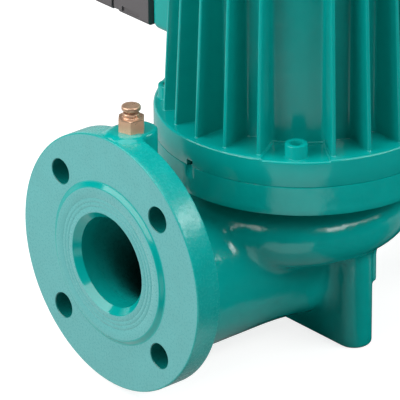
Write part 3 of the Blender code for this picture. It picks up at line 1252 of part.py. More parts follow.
def make_fan():
    """The cooling fan on the upper end of the shaft, with its retaining clip."""
    bore = FAN_SEAT_RADIUS + SEAT_GAP
    fan = turned("cooling_fan", [
        (FAN_HUB_RADIUS, FAN_TOP), (FAN_HUB_RADIUS, FAN_BOTTOM + FAN_DISC_THICKNESS),
        (FAN_RADIUS, FAN_BOTTOM + FAN_DISC_THICKNESS), (FAN_RADIUS, FAN_BOTTOM), (bore, FAN_BOTTOM),
        (bore, FAN_TOP),
    ])
    half = FAN_BLADE_THICKNESS / 2
    inner = (bore + FAN_HUB_RADIUS) / 2
    outer = FAN_RADIUS - SEAT_GAP
    blades = [
        plate(
            f"fan_blade_{blade}", [(inner, -half), (outer, -half), (outer, half), (inner, half)],
            FAN_BOTTOM + FAN_DISC_THICKNESS / 2, FAN_BOTTOM + FAN_BLADE_HEIGHT,
            Matrix.Rotation(math.radians(blade * 360 / FAN_BLADE_COUNT), 4, "Z"),
        )
        for blade in range(FAN_BLADE_COUNT)
    ]
    dress(add(fan, joined("fan_blades", blades)), GREY_PLASTIC)
    clip = ring("fan_clip", bore, CLIP_RADIUS, CLIP_BOTTOM, CLIP_TOP)
    half = CLIP_MOUTH / 2
    mouth = block("clip_mouth", (0.0, -half, CLIP_BOTTOM - CUT_OVER),
                  (CLIP_RADIUS + CUT_OVER, half, CLIP_TOP + CUT_OVER))
    dress(cut(clip, mouth), BRIGHT_STEEL)


def make_fan_cover():
    """The sheet-metal cover over the fan, with its grille and screws."""
    inner = FAN_COVER_INNER_RADIUS
    outer = FAN_COVER_OUTER_RADIUS
    soft = FAN_COVER_ROUNDING
    arc = np.linspace(0.0, math.pi / 2, 3)
    over = [
        (outer - soft + soft * math.sin(a), FAN_COVER_TOP - soft + soft * math.cos(a)) for a in arc
    ]
    bend = soft - FAN_COVER_WALL
    under = [
        (outer - soft + bend * math.cos(a), FAN_COVER_TOP - soft + bend * math.sin(a)) for a in arc
    ]
    cover = turned(
        "fan_cover",
        [(0.0, FAN_COVER_TOP), *over, (outer, FAN_COVER_BOTTOM), (inner, FAN_COVER_BOTTOM), *under,
         (0.0, FAN_COVER_TOP - FAN_COVER_WALL)],
        LARGE_STEPS, solid=True,
    )
    half = GRILLE_SLOT_WIDTH / 2
    slots = [
        plate(
            f"grille_slot_{slot}",
            [(GRILLE_INNER_RADIUS, -half), (GRILLE_OUTER_RADIUS, -half), (GRILLE_OUTER_RADIUS, half),
             (GRILLE_INNER_RADIUS, half)],
            FAN_COVER_TOP - FAN_COVER_WALL - CUT_OVER, FAN_COVER_TOP + CUT_OVER,
            Matrix.Rotation(math.radians(slot * 360 / GRILLE_SLOTS), 4, "Z"),
        )
        for slot in range(GRILLE_SLOTS)
    ]
    middle = (SHIELD_BOTTOM + SHIELD_TOP) / 2
    holes = [
        rod(f"cover_hole_{angle}", polar(inner - CUT_OVER, angle, middle),
            polar(outer + CUT_OVER, angle, middle), COVER_SCREW_RADIUS + SEAT_GAP)
        for angle in SCREW_ANGLES
    ]
    dress(cut(cover, joined("grille_slots", slots), joined("cover_holes", holes)), PAINT)
    for number, angle in enumerate(SCREW_ANGLES, 1):
        seat = outer + SEAT_GAP
        top = seat + COVER_SCREW_HEAD_HEIGHT
        tip = FAN_COVER_INNER_RADIUS - COVER_SCREW_LENGTH
        screw = turned(f"fan_cover_screw_{number}", [
            (0.0, top), (COVER_SCREW_HEAD_RADIUS / 2, top), (COVER_SCREW_HEAD_RADIUS, seat),
            (COVER_SCREW_RADIUS, seat), (COVER_SCREW_RADIUS, tip), (0.0, tip),
        ], SMALL_STEPS, solid=True)
        screw.location = (0.0, 0.0, middle)
        screw.rotation_euler = (0.0, math.pi / 2, math.radians(angle))
        dress(screw, BRIGHT_STEEL)


def box_frame(name, inset, back, front, rounding=0.0):
    """A block of the terminal box's outline, drawn in by an inset."""
    return block(
        name, (inset - BOX_HALF_WIDTH, back, BOX_BOTTOM + inset),
        (BOX_HALF_WIDTH - inset, front, BOX_TOP - inset), rounding,
    )


def lid_screw_places():
    """The corners where the lid is screwed on, as (x, z)."""
    x = BOX_HALF_WIDTH - LID_SCREW_INSET
    heights = (BOX_BOTTOM + LID_SCREW_INSET, BOX_TOP - LID_SCREW_INSET)
    return [(side * x, z) for side in (-1, 1) for z in heights]


GLAND_Y = BOX_BACK + BOX_BASE_DEPTH / 2
GLAND_Z = BOX_BOTTOM + BOX_HEIGHT / 3


def make_terminal_box():
    """The terminal box: base on the motor's pad, gasket, lid and screws."""
    screw_tip = LID_BACK + BOX_WALL - LID_SCREW_GRIP - BOX_BASE_DEPTH / 4
    base = box_frame("terminal_box_base", 0.0, BOX_BACK - 2 * BOX_ROUNDING, BOX_RIM, BOX_ROUNDING)
    flat_back = box_frame("box_back_trim", -CUT_OVER, BOX_BACK - 3 * BOX_ROUNDING, BOX_BACK)
    flat_front = box_frame("box_rim_trim", -CUT_OVER, BOX_RIM - BOX_LIP_HEIGHT, BOX_RIM + CUT_OVER)
    rim = box_frame("box_rim", BOX_ROUNDING / 4, BOX_RIM - 2 * BOX_LIP_HEIGHT, BOX_RIM)
    inside = box_frame("box_inside", BOX_WALL, BOX_BACK + BOX_WALL, BOX_RIM + CUT_OVER)
    posts = joined("lid_posts", [
        rod(f"lid_post_{number}", (x, BOX_BACK + BOX_WALL / 2, z), (x, BOX_RIM - SEAT_GAP, z),
            LID_POST_RADIUS)
        for number, (x, z) in enumerate(lid_screw_places())
    ])
    holes = [
        rod(f"lid_thread_{number}", (x, screw_tip - SEAT_GAP, z), (x, BOX_RIM + CUT_OVER, z),
            LID_SCREW_RADIUS + SEAT_GAP)
        for number, (x, z) in enumerate(lid_screw_places())
    ]
    back = BOX_BACK - CUT_OVER
    front = BOX_BACK + BOX_WALL + CUT_OVER
    holes.append(rod("box_lead_hole", (0.0, back, LEAD_HOLE_HEIGHT), (0.0, front, LEAD_HOLE_HEIGHT),
                     LEAD_HOLE_RADIUS))
    for side in (-1, 1):
        x = side * BOX_SCREW_SPREAD
        holes.append(rod(f"box_screw_hole_{side}", (x, back, LEAD_HOLE_HEIGHT),
                         (x, front, LEAD_HOLE_HEIGHT), BOX_SCREW_RADIUS + SEAT_GAP))
    holes.append(rod("gland_hole", (BOX_HALF_WIDTH - 2 * BOX_WALL, GLAND_Y, GLAND_Z),
                     (BOX_HALF_WIDTH + CUT_OVER, GLAND_Y, GLAND_Z), GLAND_RADIUS + SEAT_GAP, MEDIUM_STEPS))
    half_length = RECESS_LENGTH / 2
    recess_bottom = BOX_BOTTOM + RECESS_LIFT
    recess = block(
        "side_recess", (-BOX_HALF_WIDTH - CUT_OVER, GLAND_Y - half_length, recess_bottom),
        (RECESS_DEPTH - BOX_HALF_WIDTH, GLAND_Y + half_length, recess_bottom + RECESS_HEIGHT),
    )
    cut(base, flat_back, flat_front)
    add(base, rim)
    cut(base, inside)
    add(base, posts)
    cut(base, joined("box_holes", holes), recess)
    dress(base, GREY_PLASTIC)
    rim_inset = BOX_ROUNDING / 2
    gasket_front = BOX_GASKET_BACK + BOX_GASKET_THICKNESS
    gasket = box_frame("terminal_box_gasket", rim_inset, BOX_GASKET_BACK, gasket_front)
    cut(gasket, box_frame("gasket_inside", rim_inset + BOX_GASKET_WIDTH, BOX_GASKET_BACK - CUT_OVER,
                          gasket_front + CUT_OVER))
    dress(gasket, RUBBER)
    make_lid(screw_tip)


def make_lid(screw_tip):
    """The terminal box's lid and its corner screws."""
    lid = box_frame("terminal_box_lid", 0.0, LID_BACK - 2 * BOX_ROUNDING, LID_FACE, BOX_ROUNDING)
    cut(lid, box_frame("lid_back_trim", -CUT_OVER, LID_BACK - 3 * BOX_ROUNDING, LID_BACK))
    cut(lid, box_frame("lid_inside", BOX_WALL, LID_BACK - CUT_OVER, LID_FACE - BOX_WALL))
    posts = []
    holes = []
    seat = LID_FACE - LID_SCREW_HEAD_HEIGHT
    for number, (x, z) in enumerate(lid_screw_places(), 1):
        posts.append(rod(f"lid_boss_{number}", (x, LID_BACK + SEAT_GAP, z), (x, LID_FACE - BOX_WALL / 2, z),
                         LID_POST_RADIUS))
        holes.append(rod(f"lid_hole_{number}", (x, LID_BACK - CUT_OVER, z), (x, LID_FACE, z),
                         LID_SCREW_RADIUS + SEAT_GAP))
        head_room = rod(f"lid_head_room_{number}", (x, seat, z), (x, LID_FACE + CUT_OVER, z),
                        LID_SCREW_HEAD_RADIUS + SEAT_GAP)
        holes.append(head_room)
        low = seat + SEAT_GAP
        top = low + LID_SCREW_HEAD_HEIGHT
        screw = turned(f"lid_screw_{number}", [
            (0.0, top), (LID_SCREW_HEAD_RADIUS, top), (LID_SCREW_HEAD_RADIUS, low),
            (LID_SCREW_RADIUS, low),
            (LID_SCREW_RADIUS, screw_tip), (0.0, screw_tip),
        ], SMALL_STEPS, solid=True)
        screw.location = (x, 0.0, z)
        screw.rotation_euler = (-math.pi / 2, 0.0, 0.0)
        dress(screw, BRIGHT_STEEL)
    add(lid, joined("lid_bosses", posts))
    for hole in holes:
        cut(lid, hole)
    dress(lid, GREY_PLASTIC)


def make_box_fittings():
    """Terminal board with its studs, the screws that hold the box, and the cable gland."""
    back = BOX_BACK + BOX_WALL + SEAT_GAP
    low = LEAD_HOLE_HEIGHT + LEAD_HOLE_RADIUS + BLOCK_ABOVE_HOLE
    board = block("terminal_block", (-BLOCK_HALF_WIDTH, back, low),
                  (BLOCK_HALF_WIDTH, back + BLOCK_DEPTH, low + BLOCK_HEIGHT), STUD_RADIUS / 2, 1)
    studs = []
    for column in (-1, 0, 1):
        for row in (-1, 1):
            x = column * STUD_PITCH
            z = low + BLOCK_HEIGHT / 2 + row * STUD_ROW_OFFSET
            studs.append(rod(f"stud_{column}_{row}", (x, back + BLOCK_DEPTH / 2, z),
                             (x, back + BLOCK_DEPTH + STUD_LENGTH, z), STUD_RADIUS, 8))
    dress(add(board, joined("studs", studs)), MOULDING)
    for number, side in enumerate((-1, 1), 1):
        tip = BOX_BACK + BOX_WALL - BOX_SCREW_LENGTH
        top = back + BOX_SCREW_HEAD_HEIGHT
        screw = turned(f"box_screw_{number}", [
            (0.0, top), (BOX_SCREW_HEAD_RADIUS, top), (BOX_SCREW_HEAD_RADIUS, back),
            (BOX_SCREW_RADIUS, back),
            (BOX_SCREW_RADIUS, tip), (0.0, tip),
        ], SMALL_STEPS, solid=True)
        screw.location = (side * BOX_SCREW_SPREAD, 0.0, LEAD_HOLE_HEIGHT)
        screw.rotation_euler = (-math.pi / 2, 0.0, 0.0)
        dress(screw, BRIGHT_STEEL)
    make_gland()


def make_gland():
    """The cable gland in the box's side: screwed body and domed cap."""
    wall = BOX_HALF_WIDTH + SEAT_GAP
    hex_end = wall + GLAND_HEX_LENGTH
    nose_end = hex_end + GLAND_NOSE_LENGTH
    stub = BOX_HALF_WIDTH - GLAND_STUB_LENGTH
    turn = (0.0, math.pi / 2, 0.0)
    centre = (0.0, GLAND_Y, GLAND_Z)
    body = turned("cable_gland_body", [
        (GLAND_RADIUS, nose_end), (GLAND_RADIUS, stub), (GLAND_BORE_RADIUS, stub),
        (GLAND_BORE_RADIUS, nose_end),
    ])
    body.location = centre
    body.rotation_euler = turn
    collar = rod("gland_hex", (wall, GLAND_Y, GLAND_Z), (hex_end, GLAND_Y, GLAND_Z),
                 GLAND_HEX_RADIUS, 6)
    bore = rod("gland_bore", (stub - CUT_OVER, GLAND_Y, GLAND_Z),
               (nose_end + CUT_OVER, GLAND_Y, GLAND_Z), GLAND_BORE_RADIUS - SEAT_GAP, MEDIUM_STEPS)
    dress(cut(add(body, collar), bore), GREY_PLASTIC)
    inner = GLAND_RADIUS + SEAT_GAP
    cap_start = hex_end + SEAT_GAP
    cap_end = cap_start + GLAND_CAP_LENGTH
    cap = turned("cable_gland_cap", [
        (GLAND_BORE_RADIUS + GLAND_CAP_WALL, cap_end), (inner + GLAND_CAP_WALL, cap_end - GLAND_CAP_WALL),
        (inner + GLAND_CAP_WALL, cap_start), (inner, cap_start), (inner, nose_end + SEAT_GAP),
        (GLAND_BORE_RADIUS, nose_end + SEAT_GAP), (GLAND_BORE_RADIUS, cap_end),
    ])
    cap.location = centre
    cap.rotation_euler = turn
    dress(cap, GREY_PLASTIC)


def make_vent():
    """The brass air vent: hexagon body, the screw that is turned by hand and the tip that it lifts."""
    axis = bpy.data.objects.new("vent_axis", None)
    axis.location = (VENT_X, 0.0, 0.0)
    PARTS.objects.link(axis)
    body = turned("vent_body", [
        (0.0, VENT_COLLAR_TOP), (VENT_COLLAR_RADIUS, VENT_COLLAR_TOP),
        (VENT_COLLAR_RADIUS, VENT_BASE + SEAT_GAP),
        (VENT_STEM_RADIUS, VENT_BASE + SEAT_GAP), (VENT_STEM_RADIUS, VENT_BASE - VENT_STEM_LENGTH),
        (0.0, VENT_BASE - VENT_STEM_LENGTH),
    ], SMALL_STEPS, solid=True)
    hexagon = rod("vent_hex", (0.0, 0.0, VENT_BASE), (0.0, 0.0, VENT_HEX_TOP), VENT_HEX_RADIUS, 6)
    hexagon.rotation_euler = (0.0, 0.0, math.radians(VENT_HEX_TURN))
    bore = turned("vent_bore", [
        (0.0, VENT_COLLAR_TOP + CUT_OVER), (VENT_BORE_RADIUS, VENT_COLLAR_TOP + CUT_OVER),
        (VENT_BORE_RADIUS, VENT_SEAT), (VENT_HOLE_RADIUS, VENT_SEAT),
        (VENT_HOLE_RADIUS, VENT_BASE - VENT_STEM_LENGTH - CUT_OVER),
        (0.0, VENT_BASE - VENT_STEM_LENGTH - CUT_OVER),
    ], SMALL_STEPS, solid=True)
    cut(add(body, hexagon), bore)
    shank = VENT_BORE_RADIUS - SEAT_GAP
    seal_top = VENT_SEAT + SEAT_GAP + VENT_SEAL_HEIGHT
    seal = turned("vent_seal", [
        (0.0, seal_top), (shank, seal_top), (shank, VENT_SEAT + VENT_SEAL_HEIGHT / 2),
        (VENT_HOLE_RADIUS, VENT_SEAT + SEAT_GAP), (0.0, VENT_SEAT + SEAT_GAP),
    ], SMALL_STEPS, solid=True)
    knob_bottom = VENT_COLLAR_TOP + VENT_NECK_HEIGHT
    knob_top = knob_bottom + VENT_KNOB_HEIGHT
    screw = turned("vent_screw", [
        (0.0, knob_top), (VENT_KNOB_RADIUS - VENT_KNOB_EDGE, knob_top),
        (VENT_KNOB_RADIUS, knob_top - VENT_KNOB_EDGE),
        (VENT_KNOB_RADIUS, knob_bottom + VENT_KNOB_EDGE),
        (VENT_KNOB_RADIUS - VENT_KNOB_EDGE, knob_bottom),
        (shank, knob_bottom), (shank, seal_top + SEAT_GAP), (0.0, seal_top + SEAT_GAP),
    ], SMALL_STEPS, solid=True)
    for part in (body, hexagon, bore, seal, screw):
        part.parent = axis
    dress(body, BRASS)
    dress(seal, NYLON)
    dress(screw, BRASS)


def weld(mesh):
    """Merges points that lie on one another."""
    shape = bmesh.new()
    shape.from_mesh(mesh)
    bmesh.ops.remove_doubles(shape, verts=shape.verts, dist=MERGE)
    shape.to_mesh(mesh)
    shape.free()


def settle():
    """Keeps what each part's modifiers make of it as its mesh, smooth where it is round."""
    bpy.context.view_layer.update()
    graph = bpy.context.evaluated_depsgraph_get()
    shaped = [part for part in PARTS.objects if part.type == "MESH"]
    meshes = [bpy.data.meshes.new_from_object(part.evaluated_get(graph)) for part in shaped]
    for part, mesh in zip(shaped, meshes):
        part.modifiers.clear()
        weld(mesh)
        part.data = mesh
        mesh.shade_smooth()
        mesh.set_sharp_from_angle(angle=SMOOTH_ANGLE)


def main():
    """Builds the pump from the casing up."""
    make_casing()
    make_wear_ring()
    make_impeller()
    make_impeller_fastening()
    make_shaft()
    make_cover()
    make_seal()
    make_slinger()
    make_housing()
    make_casing_screws()
    make_bearings()
    make_stator_and_rotor()
    make_end_shield()
    make_fan()
    make_fan_cover()
    make_terminal_box()
    make_box_fittings()
    make_vent()
    settle()


main()
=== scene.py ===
"""Visual model of a close-coupled centrifugal water pump and the studio it stands in.

Sizes are millimetres in the row's frame, with the foot's base at zero height under the motor's axis.
Shells turn them into metres when they become meshes.
"""

from __future__ import annotations

import logging
import math
from collections.abc import Callable
from dataclasses import dataclass, field
from enum import Enum
from functools import partial, reduce

import bpy
import numpy as np
from mathutils import Matrix, Vector

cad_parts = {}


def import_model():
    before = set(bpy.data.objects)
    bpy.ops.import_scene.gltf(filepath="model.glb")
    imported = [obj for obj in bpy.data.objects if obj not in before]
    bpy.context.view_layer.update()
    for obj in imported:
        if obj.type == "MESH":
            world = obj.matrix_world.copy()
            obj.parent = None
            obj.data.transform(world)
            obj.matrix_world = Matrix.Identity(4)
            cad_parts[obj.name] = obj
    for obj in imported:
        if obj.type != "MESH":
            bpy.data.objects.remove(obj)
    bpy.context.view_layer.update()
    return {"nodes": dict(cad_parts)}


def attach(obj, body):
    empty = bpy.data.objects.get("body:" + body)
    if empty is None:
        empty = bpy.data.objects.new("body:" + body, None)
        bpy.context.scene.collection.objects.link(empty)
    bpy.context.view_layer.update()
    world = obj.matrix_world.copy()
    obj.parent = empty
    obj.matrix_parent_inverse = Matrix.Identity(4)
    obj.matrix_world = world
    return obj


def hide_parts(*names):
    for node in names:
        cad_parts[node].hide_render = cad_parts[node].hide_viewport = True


LOG = logging.getLogger("pump")
Array = np.ndarray
Point = tuple[float, float, float]
Rows = list[tuple[Array | float, Array | float]]
Field = Callable[[Array, Array, Array], Array]
Socket = bpy.types.NodeSocket
Feed = Socket | float | tuple[float, ...] | Vector
MM = 0.001
WELD_CELLS = 2000.0
PIPE_HEIGHT = 100.0
QUARTERS = (45.0, 135.0, 225.0, 315.0)
SQUARE = (0.0, 90.0, 180.0, 270.0)
COVER_SCREW_RADIUS = 93.2
COVER_SCREW_HEIGHT = 349.6
BROAD_PATCHES = 75.0
COAT_ROUGHNESS = 0.12
NOISE_ROUGHNESS = 0.55
NOISE_LOW, NOISE_HIGH = 0.3, 0.7
# Painted shade: the colour that the waterways sink into deep inside, near the motor's axis.
DEEP_SHADE = (0.010, 0.022, 0.022, 1.0)
WHITE = (1.0, 1.0, 1.0, 1.0)


class Side(Enum):
    """The two ends of the pump's pipe line, as the sign of their X."""

    SUCTION = -1.0
    DISCHARGE = 1.0


class Slot(Enum):
    """Material slots of the record."""

    PAINT = "teal_paint"
    BRASS = "brass"
    STEEL = "cast_steel"
    BRIGHT = "bright_steel"
    BRONZE = "bronze"
    RUBBER = "rubber"
    CARBON = "carbon"
    CERAMIC = "ceramic"
    COPPER = "copper"
    PLASTIC = "grey_plastic"
    MOULDING = "terminal_moulding"
    NYLON = "nylon"
    FIBRE = "gasket_fibre"


class Wiring:
    """Adds nodes to the tree of a material or a world."""

    def __init__(self, tree: bpy.types.NodeTree) -> None:
        """Keep the tree."""
        self.tree = tree

    def feed(self, node: bpy.types.Node, inputs: dict[str | int, Feed]) -> None:
        """Link or set inputs of a node.

        Args:
            node: the node.
            inputs: a socket to link, or a value to set, for each input.
        """
        for key, value in inputs.items():
            if isinstance(value, Socket):
                self.tree.links.new(value, node.inputs[key])
            else:
                node.inputs[key].default_value = value

    def node(self, kind: str, inputs: dict[str | int, Feed] | None = None, **settings: str) -> bpy.types.Node:
        """Add a node, make its choices, then feed it.

        Args:
            kind: its type, without Blender's prefix.
            inputs: what goes into it.
            settings: its own choices.

        Returns:
            The node.
        """
        made = self.tree.nodes.new(f"ShaderNode{kind}")
        for key, choice in settings.items():
            setattr(made, key, choice)
        self.feed(made, inputs or {})
        return made

    def math(self, kind: str, first: Feed, second: Feed = 0.0) -> Socket:
        """Add a node of arithmetic and hand out its result."""
        return self.node("Math", {0: first, 1: second}, operation=kind).outputs[0]

    def along(self, place: Socket, way: Vector) -> Socket:
        """Measure a place along a direction of unit length."""
        return self.node("VectorMath", {0: place, 1: way}, operation="DOT_PRODUCT").outputs["Value"]

    def ramp(self, value: Socket, start: float, end: float) -> Socket:
        """Rise from 0 at the start to 1 at the end, with level ends."""
        inputs = {"Value": value, "From Min": start, "From Max": end}
        return self.node("MapRange", inputs, interpolation_type="SMOOTHSTEP").outputs["Result"]

    def zone(self, *edges: tuple[Socket, float, float]) -> Socket:
        """Multiply ramps, so that the outcome is 1 only inside all of their edges.

        Args:
            edges: what drives each ramp, where it is 0 and where it is 1.

        Returns:
            The product.
        """
        total = self.ramp(*edges[0])
        for edge in edges[1:]:
            total = self.math("MULTIPLY", total, self.ramp(*edge))
        return total


@dataclass(frozen=True)
class Finish:
    """A procedural surface: a wandering colour and roughness under two sizes of relief.

    Attributes:
        name: name of the material.
        slot: the record's slot that it belongs to; not used.
        colour: linear base colour.
        metallic: 0 for paint and plastic, 1 for metal.
        roughness: middle of the roughness.
        wander: how far the roughness strays from its middle.
        tint: how far the colour strays from its base.
        grain: fine relief, as patches per metre.
        relief: height of the fine relief in metres.
        swell: height of the broad relief in metres.
        coat: weight of the clear coat.
        fade: distances from the motor's axis in metres, in full painted shade and in full colour, between
            which the colour comes up out of the painted shade.
    """

    name: str
    slot: Slot
    colour: Point
    metallic: float = 0.0
    roughness: float = 0.4
    wander: float = 0.06
    tint: float = 0.10
    grain: float = 900.0
    relief: float = 0.00004
    swell: float = 0.0
    coat: float = 0.0
    fade: tuple[float, float] | None = None

    def material(self) -> bpy.types.Material:
        """Make the material once and hand it out again afterwards.

        Returns:
            The Blender material of this finish.
        """
        found = bpy.data.materials.get(self.name)
        if found:
            return found
        made = bpy.data.materials.new(self.name)
        made.use_nodes = True
        wiring = Wiring(made.node_tree)
        place = wiring.node("TexCoord").outputs["Object"]
        fine = self._noise(wiring, place, self.grain, 4.0)
        broad = self._noise(wiring, place, BROAD_PATCHES, 2.0)
        normal = self._bump(wiring, fine, self.relief, self._bump(wiring, broad, self.swell, None))
        wiring.feed(made.node_tree.nodes["Principled BSDF"], {
            "Metallic": self.metallic,
            "Coat Weight": self.coat,
            "Coat Roughness": COAT_ROUGHNESS,
            "Base Color": self._colour(wiring, broad, place),
            "Roughness": self._roughness(wiring, fine),
            "Normal": normal,
        })
        return made

    @staticmethod
    def _noise(wiring: Wiring, place: Socket, scale: float, detail: float) -> Socket:
        """Add a noise over a coordinate, so many patches to the metre and so many octaves deep."""
        inputs = {"Vector": place, "Scale": scale, "Detail": detail, "Roughness": NOISE_ROUGHNESS}
        return wiring.node("TexNoise", inputs).outputs["Fac"]

    def _colour(self, wiring: Wiring, factor: Socket, place: Socket) -> Socket:
        """Let the colour wander between a darker and a lighter tone and, where a fade is given, darken it
        into a painted shade towards the motor's axis.

        Args:
            wiring: the material's nodes.
            factor: the noise that drives it.
            place: the object's own coordinate.

        Returns:
            The colour.
        """
        ramp = wiring.node("ValToRGB", {"Fac": factor})
        for element, at, sign in zip(ramp.color_ramp.elements, (NOISE_LOW, NOISE_HIGH), (-1.0, 1.0)):
            element.position = at
            element.color = (*(min(c * (1.0 + sign * self.tint), 1.0) for c in self.colour), 1.0)
        if not self.fade:
            return ramp.outputs["Color"]
        # Painted shade: towards the motor's axis the colour darkens to DEEP_SHADE, deep inside the waterways.
        along = wiring.node("SeparateXYZ", {"Vector": place}).outputs["X"]
        reach = {"Value": wiring.math("ABSOLUTE", along), "From Min": self.fade[0], "From Max": self.fade[1]}
        share = wiring.node("MapRange", reach).outputs["Result"]
        blend = {"Factor": share, "A": DEEP_SHADE, "B": ramp.outputs["Color"]}
        return wiring.node("Mix", blend, data_type="RGBA").outputs["Result"]

    def _roughness(self, wiring: Wiring, factor: Socket) -> Socket:
        """Let the roughness wander about its middle.

        Args:
            wiring: the material's nodes.
            factor: the noise that drives it.

        Returns:
            The roughness.
        """
        low, high = max(self.roughness - self.wander, 0.02), min(self.roughness + self.wander, 1.0)
        inputs = {"Value": factor, "From Min": NOISE_LOW, "From Max": NOISE_HIGH}
        return wiring.node("MapRange", {**inputs, "To Min": low, "To Max": high}).outputs["Result"]

    @staticmethod
    def _bump(wiring: Wiring, factor: Socket, height: float, under: Socket | None) -> Socket | None:
        """Add one relief over another.

        Args:
            wiring: the material's nodes.
            factor: the noise that gives the height.
            height: height of the relief in metres.
            under: the normal that it lies on, or nothing.

        Returns:
            The normal with the relief on it.
        """
        if not height:
            return under
        inputs = {"Strength": 1.0, "Distance": height, "Height": factor}
        if under:
            inputs["Normal"] = under
        return wiring.node("Bump", inputs).outputs["Normal"]


TEAL = (0.0006, 0.345, 0.315)
# Paler, greyer teal of the flange faces: thin paint over the machined face, with a painted reflection of the
# white surroundings mixed in.
FACE_TEAL_AND_SHEEN = (0.090, 0.375, 0.370)
# Half-bright teal for the bolt holes' walls: painted shade inside the holes.
HOLE_SHADE_TEAL = (0.0006, 0.17, 0.155)
CAST_PAINT = Finish("cast_paint", Slot.PAINT, TEAL, 0.0, 0.16, 0.06, 0.04, 420.0, 0.00010, 0.0006)
HOUSING_PAINT = Finish("housing_paint", Slot.PAINT, TEAL, 0.0, 0.19, 0.06, 0.03, 600.0, 0.00002, 0.0002)
FACE_PAINT_AND_SHEEN = Finish("face_paint_and_sheen", Slot.PAINT, FACE_TEAL_AND_SHEEN, 0.0, 0.28, 0.02, 0.03, 700.0, 0.000006)
EDGE_PAINT = Finish("edge_paint", Slot.PAINT, TEAL, 0.0, 0.12, 0.02, 0.03, 700.0, 0.000004)
SHADED_HOLE_PAINT = Finish("hole_painted_shade", Slot.PAINT, HOLE_SHADE_TEAL, 0.0, 0.3, 0.06, 0.05, 420.0, 0.0001)
RIM_PAINT = Finish("rim_paint", Slot.PAINT, TEAL, 0.0, 0.26, 0.06, 0.05, 520.0, 0.00018, 0.0004)
# Waterways' paint, darkened near the motor's axis by a painted shade deep inside the pump.
BORE_PAINT = Finish(
    "bore_paint", Slot.PAINT, TEAL, 0.0, 0.3, 0.06, 0.08, 420.0, 0.0001, 0.0006, fade=(0.118, 0.167)
)
# The two brasses are one metal: the knob's is painted darker and the hexagon's paler, as painted shade and
# painted light that even out how each is lit.
BRASS = Finish("turned_brass", Slot.BRASS, (0.58, 0.37, 0.25), 0.65, 0.34, 0.10, 0.10, 520.0, 0.00008)
HEX_BRASS_PAINTED_LIGHT = Finish("milled_brass_painted_light", Slot.BRASS, (0.80, 0.47, 0.31), 0.45, 0.36, 0.10, 0.10, 520.0, 0.00006)
STEEL = Finish("dull_steel", Slot.STEEL, (0.33, 0.33, 0.34), 1.0, 0.45, 0.08, 0.10, 1200.0, 0.00003)
BRIGHT = Finish("plated_steel", Slot.BRIGHT, (0.62, 0.62, 0.63), 1.0, 0.25, 0.06, 0.05, 1600.0, 0.00001)
BRONZE = Finish("cast_bronze", Slot.BRONZE, (0.45, 0.25, 0.11), 1.0, 0.42, 0.08, 0.12, 700.0, 0.00006)
RUBBER = Finish("black_rubber", Slot.RUBBER, (0.02, 0.02, 0.02), 0.0, 0.62, 0.08, 0.15, 900.0, 0.00003)
CARBON = Finish("seal_carbon", Slot.CARBON, (0.04, 0.04, 0.042), 0.0, 0.35, 0.06, 0.10, 1500.0, 0.00001)
CERAMIC = Finish("seal_ceramic", Slot.CERAMIC, (0.75, 0.73, 0.68), 0.0, 0.25, 0.05, 0.04, 1500.0, 0.00001)
COPPER = Finish("varnished_copper", Slot.COPPER, (0.50, 0.17, 0.07), 1.0, 0.38, 0.08, 0.15, 900.0, 0.00006)
PLASTIC = Finish("grey_plastic", Slot.PLASTIC, (0.085, 0.074, 0.080), 0.0, 0.48, 0.06, 0.05, 1600.0, 0.00003)
MOULDING = Finish("brown_moulding", Slot.MOULDING, (0.30, 0.125, 0.06), 0.0, 0.5, 0.06, 0.08, 1200.0, 0.00002)
NYLON = Finish("pale_nylon", Slot.NYLON, (0.62, 0.60, 0.54), 0.0, 0.45, 0.06, 0.08, 1200.0, 0.00002)
FIBRE = Finish("gasket_fibre", Slot.FIBRE, (0.12, 0.13, 0.11), 0.0, 0.75, 0.08, 0.15, 1500.0, 0.00004)

CARRIED: dict[Finish, tuple[str, ...]] = {
    STEEL: ("casing_cover", "stator_core", "rotor_core"),
    FIBRE: ("casing_gasket",),
    BRONZE: ("wear_ring", "impeller"),
    BRIGHT: (
        "impeller_nut", "impeller_washer", "impeller_key", "motor_shaft", "seal_spring",
        "lower_bearing", "upper_bearing", "preload_washer", "end_shield_screw", "fan_clip",
        "fan_cover_screw", "lid_screw", "box_screw",
    ),
    RUBBER: ("seal_seat_cup", "seal_bellows", "slinger_ring", "terminal_box_gasket"),
    CERAMIC: ("seal_seat",),
    CARBON: ("seal_face",),
    COPPER: ("lower_winding", "upper_winding"),
    HOUSING_PAINT: ("upper_end_shield", "fan_cover"),
    PLASTIC: ("cooling_fan", "terminal_box", "cable_gland"),
    MOULDING: ("terminal_block",),
    NYLON: ("vent_seal",),
}


